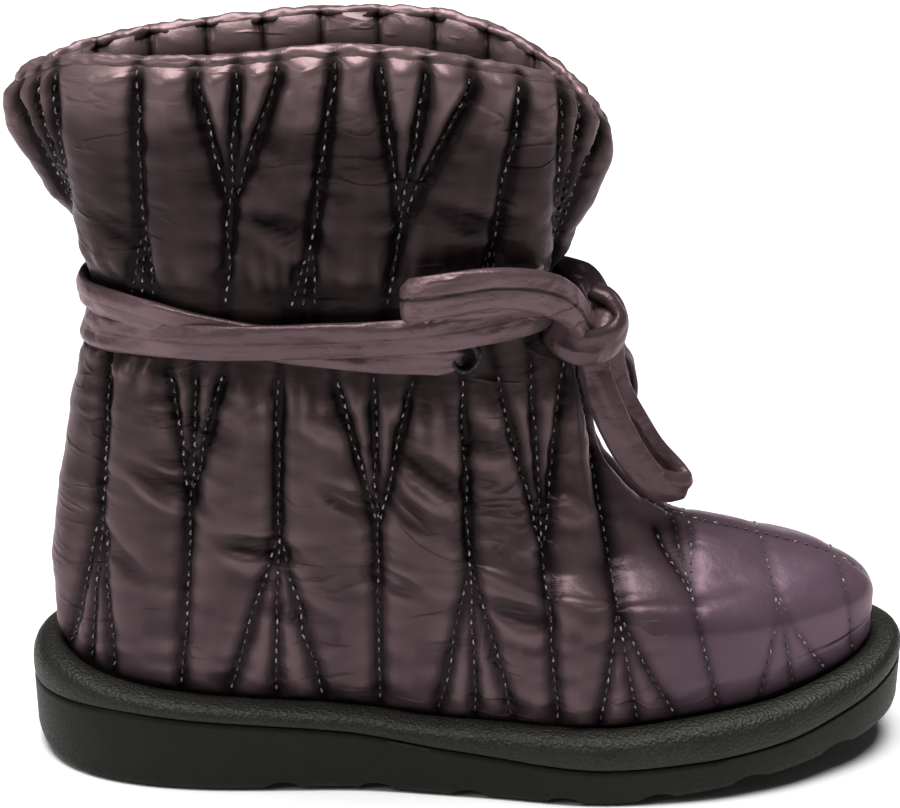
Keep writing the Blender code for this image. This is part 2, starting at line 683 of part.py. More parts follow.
def build_knot():
    """The knot with the strand that arches into it and the short end that leaves it."""
    bm = bmesh.new()
    place = Matrix.Translation(KNOT_CENTRE) @ Matrix.Diagonal((*KNOT_SIZE, 1.0))
    bmesh.ops.create_uvsphere(bm, u_segments=14, v_segments=9, radius=1.0, matrix=place)
    knot = make_object("tie_knot", bm, "tie_nylon")
    for name, table in (("tie_knot_arch", KNOT_ARCH), ("tie_knot_end", KNOT_END)):
        line = route(table, 8)
        boolean(knot, ribbon_cutter(name, line[:, :3], line[:, 3:]), "UNION")


def make_material(name, colour):
    material = bpy.data.materials.new(name)
    material.use_nodes = True
    shader = material.node_tree.nodes["Principled BSDF"]
    shader.inputs["Base Color"].default_value = (colour.red, colour.green, colour.blue, 1.0)
    shader.inputs["Roughness"].default_value = colour.roughness
    shader.inputs["Metallic"].default_value = colour.metallic
    return material


def make_collection(name):
    collection = bpy.data.collections.new(name)
    bpy.context.scene.collection.children.link(collection)
    return collection


for old in list(bpy.data.objects):
    bpy.data.objects.remove(old, do_unlink=True)
PARTS = make_collection("winter_boot")
CUTTERS = make_collection("cutters")
MATERIALS = {name: make_material(name, colour) for name, colour in COLOURS.items()}

build_outsole()
build_midsole()
build_insole()
build_upper()
build_binding()
build_eyelet("eyelet_lateral", -1.0)
build_eyelet("eyelet_medial", 1.0)
build_tie_wrap()
build_knot()
build_bow_piece("tie_loop_lateral", LATERAL_LOOP, 20)
build_bow_piece("tie_loop_front", FRONT_LOOP, 20)
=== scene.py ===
"""Quilted winter boot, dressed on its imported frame: quilted nylon upper, pebbled sole and a fabric tie."""
import math
from collections import namedtuple

import bmesh
import bpy
import numpy as np
from mathutils import Matrix, Vector, noise
from mathutils.bvhtree import BVHTree
from mathutils.kdtree import KDTree


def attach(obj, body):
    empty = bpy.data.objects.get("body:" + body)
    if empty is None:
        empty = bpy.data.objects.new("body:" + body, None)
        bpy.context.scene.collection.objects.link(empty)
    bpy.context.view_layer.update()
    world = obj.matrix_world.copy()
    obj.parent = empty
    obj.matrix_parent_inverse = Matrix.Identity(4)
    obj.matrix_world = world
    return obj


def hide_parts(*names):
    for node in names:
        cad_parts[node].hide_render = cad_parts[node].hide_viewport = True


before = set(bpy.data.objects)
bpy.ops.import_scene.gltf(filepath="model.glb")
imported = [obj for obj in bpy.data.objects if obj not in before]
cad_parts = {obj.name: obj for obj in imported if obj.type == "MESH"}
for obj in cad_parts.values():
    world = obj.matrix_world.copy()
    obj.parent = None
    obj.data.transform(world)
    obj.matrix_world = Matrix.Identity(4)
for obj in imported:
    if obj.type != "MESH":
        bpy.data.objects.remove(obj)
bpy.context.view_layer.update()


def table(names, *rows):
    """Rows of a short table, with a name for each column."""
    kind = namedtuple("Row", names)
    return [kind(*row) for row in rows]


# Sizes of the boot, in metres
SOLE_LENGTH = 0.2838
BALL_WIDTH = 0.106
COLLAR_HEIGHT = 0.236
LEDGE_WIDTH = 0.0095
SEAT_DEPTH = 0.0025
WALL = 0.006
CLEARANCE = 0.0003
TIE_WIDTH = 0.0110
TIE_THICK = 0.0036
LOOP_THICK = 0.0048
KNOT_THICK = 0.0046
EYELET_OUTER = 0.0053
EYELET_INNER = 0.0029
EYELET_HEIGHT = 0.1425
EYELET_LIFT = 0.0011
GROOVE_WIDTH = 0.0075
GROOVE_DEPTH = 0.0028
GROOVE_DROP = 0.0004
GROOVE_PITCH = 0.0293
GROOVE_FIRST = -0.058
ROLL_HEIGHT = 0.0063
ROLL_WIDE = 0.0025
ROLL_HIGH = 0.0024

# Shares and powers
HEEL_ROUND = 6.0
TOE_ROUND = 5.0
VAMP_REACH = 0.45
EYELET_SHARE = 0.715
PUFF_POWER = 1.35
TOE_CALM = 0.86

# Levels, which count the rows of RINGS from the sole to the rim
FEATHER_FROM = 0.5
FEATHER = 1.2
TIE_FROM = 9.6
TIE_LEVEL = 10.3
TIE_TO = 11.0
TIE_FADE = 0.7
GATHER_REACH = 0.8
EDGE_LEVELS = 0.4

# Quilting, in metres; a seam that is MIDLINE away lies on the middle line, at the heel or in front
MIDLINE = 0.2
SEAM_SPACING = 0.0012
HELD_GAP = 0.0009
CREASE_BOW = 0.0016
TOE_START = 0.030
TOE_RUN = 0.055
TOE_FILL = 0.0020
TOE_LIMIT = 0.0034
PANEL_LIMIT = 0.0042
INWARD_LIMIT = 0.0030
LOW_PANEL = 0.045
LOW_PANEL_RUN = 0.050
ANKLE_X = -0.045
EDGE_TURN = 0.0045
LUMP = 0.00050
CROSS_FOLD = 0.00034
FINE_FOLD = 0.00012
PUFF = 0.0044
PUFF_WIDTH = 0.0050
SEAM_SINK = 0.0022
SEAM_WIDTH = 0.0022
GATHER = 0.0008
COLLAR_LIFT = 0.0070
PUCKER = 0.00120
PUCKER_REACH = 0.0068
PUCKER_START = 0.0012
PUCKER_PITCH = 0.0030
PUCKER_WIDE_PITCH = 0.0058
STITCH_PITCH = 0.0034
STITCH_LENGTH = 0.0018
STITCH_RADIUS = 0.00029
STITCH_START = 0.0008
TIE_FRONT = 0.06
HIDDEN_LOW = 0.1365
HIDDEN_HIGH = 0.1600

# Counts
GROOVE_COUNT = 7
LINING_SEAMS = 24
GATHER_FOLDS = 46.0
STITCH_SMOOTHING = 9
COLLAR_ROWS = 6
COLLAR_SIDES = 16
STITCH_SIDES = 6
EYELET_SIDES = 14
EYELET_AROUND = 48
OUTLINE_STEPS = 1600
RING_STEPS = 400
LEVEL_STEPS = 600
SEAM_STEPS = 60
CLOTH_FRAMES = 12
AROUND = 480
ROWS = 154
INNER_AROUND = 240
INNER_ROWS = 64
SOLE_COUNT = 300

OUTLINE = table(
    "station lateral medial",
    (0.00, 0.398, 0.415),
    (0.20, 0.416, 0.420),
    (0.36, 0.408, 0.385),
    (0.50, 0.446, 0.420),
    (0.65, 0.500, 0.482),
    (0.75, 0.486, 0.500),
    (0.85, 0.447, 0.497),
    (0.92, 0.400, 0.480),
    (1.00, 0.368, 0.450),
)
SOLE_LINES = table(
    "station bottom parting ledge",
    (0.00, 0.0050, 0.0245, 0.0385),
    (0.05, 0.0008, 0.0255, 0.0362),
    (0.10, 0.0000, 0.0260, 0.0332),
    (0.20, 0.0000, 0.0246, 0.0301),
    (0.36, 0.0008, 0.0212, 0.0270),
    (0.48, 0.0000, 0.0164, 0.0236),
    (0.65, 0.0000, 0.0126, 0.0232),
    (0.75, 0.0028, 0.0142, 0.0262),
    (0.85, 0.0066, 0.0176, 0.0292),
    (0.94, 0.0100, 0.0242, 0.0345),
    (1.00, 0.0135, 0.0310, 0.0405),
)
RINGS = table(
    "back back_z front front_z rise dip half foot follow lift back_round front_round",
    (-0.459, 0.150, 0.459, 0.160, 0.000, 0.000, 0.390, 1.00, 1.0, -0.0022, 6.0, 5.0),
    (-0.464, 0.165, 0.464, 0.175, 0.000, 0.000, 0.406, 1.00, 1.0, 0.0016, 6.0, 5.0),
    (-0.466, 0.215, 0.461, 0.190, 0.000, 0.000, 0.429, 1.00, 1.0, 0.0100, 5.6, 4.6),
    (-0.465, 0.280, 0.459, 0.220, 0.000, 0.008, 0.425, 1.00, 0.0, 0.0000, 5.2, 4.0),
    (-0.457, 0.339, 0.419, 0.258, 0.000, 0.022, 0.410, 0.90, 0.0, 0.0000, 4.6, 3.3),
    (-0.448, 0.394, 0.346, 0.286, 0.000, 0.042, 0.401, 0.75, 0.0, 0.0000, 4.0, 2.7),
    (-0.438, 0.449, 0.253, 0.315, 0.000, 0.046, 0.396, 0.55, 0.0, 0.0000, 3.6, 2.3),
    (-0.430, 0.500, 0.183, 0.362, 0.000, 0.030, 0.392, 0.35, 0.0, 0.0000, 3.3, 2.2),
    (-0.421, 0.542, 0.141, 0.436, 0.000, 0.014, 0.387, 0.20, 0.0, 0.0000, 3.0, 2.2),
    (-0.411, 0.581, 0.132, 0.513, 0.004, 0.004, 0.380, 0.08, 0.0, 0.0000, 2.8, 2.3),
    (-0.402, 0.623, 0.112, 0.602, 0.016, 0.000, 0.366, 0.00, 0.0, 0.0000, 2.7, 2.4),
    (-0.410, 0.678, 0.091, 0.670, 0.014, 0.000, 0.377, 0.00, 0.0, 0.0000, 2.6, 2.4),
    (-0.416, 0.737, 0.104, 0.720, 0.022, 0.000, 0.392, 0.00, 0.0, 0.0000, 2.6, 2.4),
    (-0.443, 0.801, 0.129, 0.780, 0.042, 0.000, 0.407, 0.00, 0.0, 0.0000, 2.5, 2.4),
    (-0.479, 0.877, 0.147, 0.832, 0.074, 0.000, 0.417, 0.00, 0.0, 0.0000, 2.5, 2.4),
    (-0.480, 0.902, 0.145, 0.857, 0.0915, 0.000, 0.412, 0.00, 0.0, 0.0000, 2.5, 2.4),
)
COLLAR_LINE = table(
    "station lateral medial",
    (0.00, 0.00, 0.00),
    (0.12, 0.52, 0.26),
    (0.35, 0.72, 0.58),
    (0.61, 1.00, 0.84),
    (0.70, 0.95, 0.86),
    (0.80, 0.83, 0.77),
    (0.92, 0.59, 0.43),
    (1.00, 0.00, 0.00),
)
RIM = float(len(RINGS) - 1)

# Quilting seams of one half, as in the part: one line that opens into a fan of three
SEAMS = table(
    "low high start end apex spread fan_low",
    (-0.200, -0.200, 10.0, 15.0, 0.50, 0.0000, True),
    (-0.113, -0.125, 10.0, 15.0, 0.52, 0.0060, False),
    (-0.0965, -0.0935, 10.0, 15.0, 0.45, 0.0055, True),
    (-0.072, -0.065, 10.0, 15.0, 0.56, 0.0115, False),
    (-0.050, -0.038, 10.0, 15.0, 0.44, 0.0055, True),
    (-0.026, -0.012, 10.0, 15.0, 0.50, 0.0130, False),
    (0.0020, 0.0150, 10.0, 15.0, 0.44, 0.0055, True),
    (0.022, 0.033, 10.0, 15.0, 0.40, 0.0060, False),
    (0.200, 0.200, 10.0, 15.0, 0.50, 0.0000, True),
    (-0.200, -0.200, 0.7, 10.0, 0.50, 0.0000, True),
    (-0.120, -0.107, 0.7, 10.0, 0.42, 0.0080, True),
    (-0.090, -0.080, 0.7, 10.0, 0.55, 0.0100, False),
    (-0.060, -0.0556, 0.7, 10.0, 0.45, 0.0150, True),
    (-0.0275, -0.028, 0.7, 10.0, 0.55, 0.0140, False),
    (0.0025, -0.002, 0.7, 10.0, 0.42, 0.0120, True),
    (0.028, 0.018, 0.7, 10.0, 0.64, 0.0120, False),
    (0.053, 0.0335, 0.7, 9.5, 0.43, 0.0120, True),
    (0.0786, 0.065, 0.7, 6.35, 0.70, 0.0060, False),
    (0.103, 0.094, 0.7, 5.2, 0.75, 0.0115, True),
    (0.124, 0.118, 0.7, 4.2, 0.50, 0.0000, True),
    (0.200, 0.200, 2.2, 10.0, 0.50, 0.0000, True),
)

# Creases listed for the outer side: both ends along and up the boot, the height, which is
# negative for a trough, and the half width
CREASES = table(
    "x0 z0 x1 z1 height width",
    (-0.103, 0.108, -0.078, 0.094, -0.0021, 0.0018),
    (-0.101, 0.103, -0.079, 0.089, 0.0021, 0.0022),
    (-0.096, 0.112, -0.080, 0.108, -0.0015, 0.0016),
    (-0.078, 0.085, -0.048, 0.076, -0.0021, 0.0018),
    (-0.076, 0.079, -0.048, 0.070, 0.0021, 0.0023),
    (-0.046, 0.105, -0.026, 0.092, -0.0021, 0.0018),
    (-0.026, 0.113, -0.003, 0.092, 0.0029, 0.0022),
    (-0.021, 0.117, 0.002, 0.097, -0.0021, 0.0017),
    (-0.028, 0.105, -0.010, 0.088, -0.0018, 0.0017),
    (0.004, 0.066, 0.030, 0.058, -0.0020, 0.0019),
    (0.006, 0.060, 0.031, 0.052, 0.0018, 0.0023),
    (0.022, 0.094, 0.036, 0.084, 0.0017, 0.0020),
    (-0.066, 0.062, -0.040, 0.056, -0.0015, 0.0018),
    (-0.118, 0.084, -0.098, 0.068, -0.0017, 0.0018),
    (-0.034, 0.075, -0.012, 0.066, -0.0015, 0.0018),
    (-0.004, 0.122, 0.018, 0.110, -0.0018, 0.0018),
    (-0.064, 0.191, -0.038, 0.178, -0.0016, 0.0018),
    (-0.062, 0.185, -0.038, 0.171, 0.0016, 0.0022),
    (-0.012, 0.192, 0.010, 0.178, -0.0017, 0.0019),
    (-0.110, 0.188, -0.092, 0.174, -0.0015, 0.0019),
    (-0.088, 0.124, -0.066, 0.117, -0.0015, 0.0018),
    (-0.052, 0.126, -0.034, 0.117, 0.0014, 0.0020),
)

# Routes of the tie
WRAP = "turn height lift"
OVER_STRAND = table(
    WRAP,
    (-0.930, 0.1500, 0.0010),
    (-0.880, 0.1515, 0.0008),
    (-0.700, 0.1515, 0.0034),
    (-0.550, 0.1510, 0.0034),
    (-0.330, 0.1495, 0.0034),
    (-0.180, 0.1470, 0.0010),
    (0.000, 0.1425, 0.0008),
    (0.250, 0.1440, 0.0008),
    (0.500, 0.1440, 0.0008),
    (0.665, 0.1425, 0.0008),
    (0.700, 0.1425, -0.0010),
    (0.720, 0.1425, -0.0060),
)
UNDER_STRAND = table(
    WRAP,
    (-0.720, 0.1425, -0.0060),
    (-0.700, 0.1426, -0.0010),
    (-0.665, 0.1435, 0.0008),
    (-0.550, 0.1455, 0.0008),
    (-0.330, 0.1510, 0.0008),
    (-0.150, 0.1560, 0.0008),
    (0.000, 0.1545, 0.0008),
    (0.250, 0.1560, 0.0008),
    (0.500, 0.1570, 0.0008),
    (0.750, 0.1565, 0.0008),
    (0.940, 0.1560, 0.0008),
)
BOW = "x y z face_x face_y face_z"
LATERAL_LOOP = table(
    BOW,
    (0.0372, -0.0130, 0.1402, 0.78, -0.58, 0.20),
    (0.0350, -0.0205, 0.1475, 0.70, -0.66, 0.25),
    (0.0292, -0.0300, 0.1574, 0.60, -0.76, 0.25),
    (0.0200, -0.0390, 0.1640, 0.50, -0.84, 0.20),
    (0.0070, -0.0470, 0.1674, 0.35, -0.92, 0.12),
    (-0.0075, -0.0518, 0.1669, 0.12, -0.98, 0.10),
    (-0.0165, -0.0520, 0.1655, -0.85, -0.50, 0.10),
    (-0.0160, -0.0480, 0.1645, -0.60, 0.80, 0.05),
    (-0.0060, -0.0466, 0.1640, -0.20, 0.98, 0.00),
    (0.0080, -0.0412, 0.1630, -0.45, 0.88, 0.00),
    (0.0220, -0.0310, 0.1600, -0.60, 0.78, 0.00),
)
FRONT_LOOP = table(
    BOW,
    (0.0378, -0.0150, 0.1400, -0.05, -0.95, 0.20),
    (0.0382, -0.0160, 0.1345, -0.05, -0.95, 0.25),
    (0.0390, -0.0165, 0.1295, -0.10, -0.95, 0.30),
    (0.0410, -0.0180, 0.1240, -0.10, -0.95, 0.30),
    (0.0454, -0.0190, 0.1140, -0.10, -0.95, 0.30),
    (0.0510, -0.0190, 0.1040, -0.05, -0.95, 0.30),
    (0.0584, -0.0170, 0.0948, 0.10, -0.93, 0.25),
    (0.0670, -0.0120, 0.0910, 0.80, -0.40, -0.40),
    (0.0655, -0.0068, 0.0930, 0.60, 0.60, -0.20),
    (0.0575, -0.0050, 0.1010, 0.20, 0.93, -0.20),
    (0.0515, -0.0050, 0.1105, 0.15, 0.95, -0.25),
    (0.0462, -0.0050, 0.1210, 0.10, 0.95, -0.25),
    (0.0440, -0.0052, 0.1290, 0.10, 0.95, -0.25),
    (0.0425, -0.0065, 0.1390, 0.10, 0.95, -0.20),
)
KNOT_BAND = table(
    BOW,
    (0.0248, -0.0140, 0.1490, -0.30, -0.90, 0.10),
    (0.0276, -0.0215, 0.1456, -0.15, -0.95, 0.10),
    (0.0312, -0.0243, 0.1428, 0.05, -0.98, 0.10),
    (0.0366, -0.0225, 0.1409, 0.35, -0.90, 0.10),
    (0.0434, -0.0160, 0.1411, 0.75, -0.65, 0.00),
    (0.0468, -0.0105, 0.1451, 0.95, -0.30, 0.05),
    (0.0441, -0.0065, 0.1509, 0.80, -0.10, 0.60),
    (0.0387, -0.0040, 0.1536, 0.30, 0.00, 0.95),
)
KNOT_ARCH = table(
    BOW,
    (0.0262, 0.0110, 0.1570, 0.45, -0.45, 0.75),
    (0.0322, 0.0050, 0.1573, 0.55, -0.60, 0.60),
    (0.0375, 0.0000, 0.1540, 0.65, -0.68, 0.40),
    (0.0403, -0.0050, 0.1491, 0.70, -0.70, 0.20),
    (0.0404, -0.0095, 0.1430, 0.72, -0.68, 0.10),
)
KNOT_END = table(
    BOW,
    (0.0440, -0.0020, 0.1380, 0.90, 0.20, 0.30),
    (0.0490, 0.0050, 0.1300, 0.90, 0.20, 0.35),
    (0.0515, 0.0095, 0.1200, 0.90, 0.20, 0.30),
    (0.0520, 0.0110, 0.1105, 0.95, 0.20, 0.20),
)
KNOT_CENTRE = (0.0415, -0.0085, 0.1415)
KNOT_SIZE = (0.0080, 0.0115, 0.0095)

# Base colours
Tones = namedtuple("Tones", "dark light toe")
# The toe tone is lighter and more purple: partly the nylon's own hue, partly painted highlight from the
# light above
FABRIC = Tones((0.036, 0.0237, 0.0244), (0.057, 0.0381, 0.0394), (0.120, 0.0760, 0.1020))
# A paler copy of the same nylon for the roll and lining: painted highlight where light from above falls on
# the rim and inside
LIT_ROLL = Tones((0.138, 0.0915, 0.0960), (0.195, 0.1310, 0.1370), (0.138, 0.091, 0.096))
TIE = Tones((0.104, 0.0660, 0.0730), (0.150, 0.0970, 0.1060), (0.104, 0.066, 0.073))
OUTSOLE_BLACK = (0.0036, 0.0039, 0.0026)
LEDGE_BLACK = (0.0074, 0.0070, 0.0058)
FLEECE = (0.05, 0.035, 0.04)
FLOOR = (0.82, 0.82, 0.82)

# Camera of the photo
SENSOR_MM = 36.0
FOCAL_PX = 2206.0
PHOTO_WIDTH_PX = 900.0
CAMERA_PLACE = (-0.0055, -0.65, 0.36)
CAMERA_TILT = 69.3


def curve(stations, values, at):
    """Smooth curve through a short column, with no overshoot between its rows."""
    x = np.asarray(stations, float)
    y = np.asarray(values, float)
    step = np.diff(x)
    slope = np.diff(y) / step
    tangent = np.zeros_like(y)
    tangent[0] = slope[0]
    tangent[-1] = slope[-1]
    for i in range(1, len(y) - 1):
        if slope[i - 1] * slope[i] > 0.0:
            tangent[i] = 2.0 * slope[i - 1] * slope[i] / (slope[i - 1] + slope[i])
    at = np.clip(np.asarray(at, float), x[0], x[-1])
    i = np.clip(np.searchsorted(x, at, side="right") - 1, 0, len(step) - 1)
    u = (at - x[i]) / step[i]
    rise = u * u * (3.0 - 2.0 * u)
    ease_in = u * (1.0 - u) ** 2 * step[i] * tangent[i]
    ease_out = u * u * (u - 1.0) * step[i] * tangent[i + 1]
    return y[i] * (1.0 - rise) + y[i + 1] * rise + ease_in + ease_out


def column(rows, name):
    return [getattr(row, name) for row in rows]


def route(points, count):
    """Even points of a smooth curve through the rows of a route, one array per column."""
    rows = np.array(points, float)
    reach = np.linalg.norm(np.diff(rows[:, :3], axis=0), axis=1)
    along = np.concatenate([[0.0], np.cumsum(reach)])
    knots = np.vstack([2 * rows[0] - rows[1], rows, 2 * rows[-1] - rows[-2]])
    at = np.linspace(0.0, along[-1], count)
    i = np.clip(np.searchsorted(along, at, side="right") - 1, 0, len(rows) - 2)
    u = ((at - along[i]) / reach[i])[:, None]
    before, start, end, after = knots[i], knots[i + 1], knots[i + 2], knots[i + 3]
    bend = 2 * before - 5 * start + 4 * end - after
    twist = -before + 3 * start - 3 * end + after
    return start + 0.5 * u * (end - before + u * (bend + u * twist))


def lengths(points):
    steps = np.linalg.norm(np.diff(np.asarray(points), axis=0), axis=1)
    return np.concatenate([[0.0], np.cumsum(steps)])


def resample(rows, along, at):
    """Rows read at places along them."""
    return np.column_stack([np.interp(at, along, values) for values in rows.T])


def unit(vectors):
    return vectors / np.linalg.norm(vectors, axis=-1, keepdims=True)


def end_round(s, back_round, front_round):
    power = np.where(s < 0.5, back_round, front_round)
    return np.sqrt(np.maximum(0.0, 1.0 - np.abs(2.0 * s - 1.0) ** power))


def half_width(s, side):
    name = "lateral" if side < 0 else "medial"
    return 2.0 * curve(column(OUTLINE, "station"), column(OUTLINE, name), s)


def sole_line(name, x):
    s = x / SOLE_LENGTH + 0.5
    return curve(column(SOLE_LINES, "station"), column(SOLE_LINES, name), s)


def sole_outline(count, inset):
    """Plan of the sole edge, from the heel along the outer side to the toe and back."""
    turn = np.linspace(0.0, math.pi, OUTLINE_STEPS)
    s = 0.5 - 0.5 * np.cos(turn)
    full = end_round(s, HEEL_ROUND, TOE_ROUND) * BALL_WIDTH * 0.5
    x = SOLE_LENGTH * (s - 0.5)
    halves = []
    for side in (-1.0, 1.0):
        plan = np.column_stack([x, side * full * half_width(s, side)])
        along = lengths(plan)
        even = np.linspace(0.0, along[-1], count // 2 + 1)
        halves.append(resample(plan, along, even))
    ring = np.vstack([halves[0], halves[1][-2:0:-1]])
    tangent = np.roll(ring, -2, axis=0) - np.roll(ring, 2, axis=0)
    normal = unit(np.column_stack([-tangent[:, 1], tangent[:, 0]]))
    return ring + normal * inset


def section(level):
    rows = np.arange(len(RINGS))
    kind = RINGS[0]
    return kind._make(float(curve(rows, column(RINGS, name), level)) for name in kind._fields)


def half_ring(level, side, shares):
    """Points of one half of a ring of the upper, back to front, at shares of its own girth."""
    cut = section(level)
    s = 0.5 - 0.5 * np.cos(np.linspace(0.0, math.pi, RING_STEPS))
    oval = BALL_WIDTH * cut.half
    foot = BALL_WIDTH * (0.5 * half_width(s, side) + cut.half - 0.5)
    width = cut.foot * foot + (1.0 - cut.foot) * oval
    x = SOLE_LENGTH * (cut.back + (cut.front - cut.back) * s)
    y = side * width * end_round(s, cut.back_round, cut.front_round)
    name = "lateral" if side < 0 else "medial"
    rise = cut.rise * curve(column(COLLAR_LINE, "station"), column(COLLAR_LINE, name), s)
    vamp = np.clip((1.0 - s) / VAMP_REACH, 0.0, 1.0)
    free = cut.back_z + (cut.front_z - cut.back_z) * s + rise - cut.dip * 4.0 * vamp * (1.0 - vamp)
    seated = sole_line("ledge", x) + cut.lift
    z = cut.follow * seated + (1.0 - cut.follow) * COLLAR_HEIGHT * free
    ring = np.column_stack([x, y, z])
    along = lengths(ring)
    return resample(ring, along / along[-1], shares)


def base_grid(levels, count):
    """Rings of the plain upper: an array of levels by points around."""
    shares = np.linspace(0.0, 1.0, count // 2 + 1)
    rings = []
    for level in levels:
        outer = half_ring(level, -1.0, shares)
        inner = half_ring(level, 1.0, shares)
        rings.append(np.vstack([outer, inner[-2:0:-1]]))
    return np.array(rings)


def even_levels(count):
    """Levels from the sole to the rim that lie evenly spaced up the wall."""
    fine = np.linspace(0.0, RIM, LEVEL_STEPS)
    rows = base_grid(fine, 48)
    steps = np.mean(np.linalg.norm(np.diff(rows, axis=0), axis=2), axis=1)
    way = np.concatenate([[0.0], np.cumsum(steps)])
    return np.interp(np.linspace(0.0, way[-1], count), way, fine)


def grid_normals(grid):
    around = np.roll(grid, -1, axis=1) - np.roll(grid, 1, axis=1)
    upward = np.gradient(grid, axis=0)
    return unit(np.cross(around, upward))


def place_at(level, side, x):
    """The point of a half ring at a place along the boot."""
    shares = np.linspace(0.0, 1.0, 161)
    ring = half_ring(level, side, shares)
    share = np.interp(x, ring[:, 0], shares)
    return resample(ring, shares, share)[0]


def seam_line(seam, offset, side):
    """One quilting line of a half, straight in the side view, as evenly spaced points."""
    shares = np.linspace(0.0, 1.0, SEAM_STEPS)
    levels = seam.start + (seam.end - seam.start) * shares
    middle = (seam.low + seam.high) / 2.0
    heights = np.array([place_at(level, side, middle)[2] for level in levels])
    risen = (heights - heights[0]) / (heights[-1] - heights[0])
    apex = float(np.interp(seam.apex, shares, risen))
    points = []
    for level, u in zip(levels, risen):
        opened = (apex - u) / apex if seam.fan_low else (u - apex) / (1.0 - apex)
        if offset and opened < 0.0:
            continue
        x = seam.low + (seam.high - seam.low) * u + offset * seam.spread * max(0.0, opened)
        points.append(place_at(level, side, x))
    if seam.end == RIM and (not offset or not seam.fan_low):
        points.append(points[-1] + np.array([0.0, 0.0, COLLAR_LIFT]))
    points = np.array(points)
    along = lengths(points)
    even = np.linspace(0.0, along[-1], max(8, int(along[-1] / SEAM_SPACING)))
    return resample(points, along, even)


def seam_lines():
    """Every quilting line of both halves; a line on the middle is made once."""
    lines = []
    for seam in SEAMS:
        sides = (-1.0,) if abs(seam.low) >= MIDLINE else (-1.0, 1.0)
        for offset in (-1.0, 0.0, 1.0) if seam.spread else (0.0,):
            lines += [seam_line(seam, offset, side) for side in sides]
    return lines


def ripple(point, scale, seed):
    """Smooth repeatable noise from -1 to 1."""
    return noise.noise(Vector(point) * scale + Vector((seed * 7.13, seed * 3.71, seed * 1.37)))


def nearest_seam(grid, lines):
    """Distance to the nearest quilting line, the place along it and a number for its side."""
    points = np.vstack(lines)
    marks = np.concatenate([lengths(line) for line in lines])
    owner = np.concatenate([np.full(len(line), k) for k, line in enumerate(lines)])
    tree = KDTree(len(points))
    for i, point in enumerate(points):
        tree.insert(point, i)
    tree.balance()
    flat = grid.reshape(-1, 3)
    gap = np.empty(len(flat))
    mark = np.empty(len(flat))
    line = np.empty(len(flat), int)
    for i, point in enumerate(flat):
        found = tree.find(point)
        gap[i] = found[2]
        mark[i] = marks[found[1]]
        line[i] = 2 * owner[found[1]] + (point[0] > found[0][0])
    shape = grid.shape[:2]
    return gap.reshape(shape), mark.reshape(shape), line.reshape(shape)


def uneven(mark, line, pitch):
    """Irregular wave from -1 to 1 along each side of each line."""
    count = 4096
    apart = 53.7
    values = np.random.default_rng(11).uniform(-1.0, 1.0, count)
    at = mark / pitch + line * apart
    low = np.floor(at).astype(int)
    share = ease(at - low)
    return values[low % count] * (1.0 - share) + values[(low + 1) % count] * share


def crease_field(grid):
    """Soft troughs and ridges listed for the outer side."""
    total = np.zeros(grid.shape[:2])
    outer = grid[:, :, 1] < 0.0
    for crease in CREASES:
        start = np.array([crease.x0, crease.z0])
        run = np.array([crease.x1, crease.z1]) - start
        size = float(run @ run)
        rel = grid[:, :, (0, 2)] - start
        u = np.clip((rel @ run) / size, 0.0, 1.0)
        bow = CREASE_BOW * np.sin(math.pi * u)
        off = np.linalg.norm(rel - u[:, :, None] * run, axis=2) - bow
        taper = np.sin(math.pi * np.clip(u * 0.9 + 0.05, 0.0, 1.0))
        total += crease.height * taper * bell(off, crease.width) * outer
    return total


def wrinkle_field(grid):
    """Small irregular folds of thin nylon: short cross folds, soft lumps and a fine crumple."""
    flat = grid.reshape(-1, 3)
    out = np.empty(len(flat))
    for i, (x, y, z) in enumerate(flat):
        bend = 0.004 * ripple((x, y, z), 60.0, 5)
        lump = ripple((x, y, z), 55.0, 1)
        cross = 1.0 - abs(ripple((x * 55.0, y * 55.0, (z + bend) * 170.0), 1.0, 2)) * 2.2
        fine = 1.0 - abs(ripple((x * 130.0, y * 130.0, (z + bend) * 240.0), 1.0, 3)) * 2.0
        weight = 0.5 + 0.5 * ripple((x, y, z), 28.0, 4)
        out[i] = LUMP * lump + CROSS_FOLD * weight * max(cross, -0.2) + FINE_FOLD * fine
    return out.reshape(grid.shape[:2])


def bell(distance, width):
    return np.exp(-(distance / width) ** 2)


def ease(value):
    value = np.clip(value, 0.0, 1.0)
    return value * value * (3.0 - 2.0 * value)


def toe_share(x):
    """From 0 behind the toe to 1 on it."""
    return ease((x - TOE_START) / TOE_RUN)


def edged_grid(levels, count):
    """Rings of the plain upper and of its turned top edge, and the level of each row."""
    grid = base_grid(levels, count)
    lift = np.array([0.0, 0.0, COLLAR_LIFT])
    grid = np.concatenate([grid, [grid[-1] + lift * k / COLLAR_ROWS for k in range(1, COLLAR_ROWS + 1)]])
    level = np.concatenate([levels, RIM + EDGE_LEVELS * np.arange(1, COLLAR_ROWS + 1) / COLLAR_ROWS])
    return grid, level[:, None]


def puckers(gap, mark, line):
    """Short uneven folds that run off both sides of a seam."""
    wave = 1.1 * uneven(mark, line, PUCKER_PITCH) + 0.8 * uneven(mark, line, PUCKER_WIDE_PITCH)
    return PUCKER * wave * (1.0 - np.exp(-gap / PUCKER_START)) * np.exp(-gap / PUCKER_REACH)


def gathers(grid, level):
    """Upright folds above and below the tie, which draws the wall in."""
    around = np.arctan2(grid[:, :, 1], grid[:, :, 0] - ANKLE_X)
    folds = np.sin(around * GATHER_FOLDS + 3.0 * np.sin(around * 7.0))
    return GATHER * folds * bell(np.abs(level - TIE_LEVEL) - GATHER_REACH, GATHER_REACH)


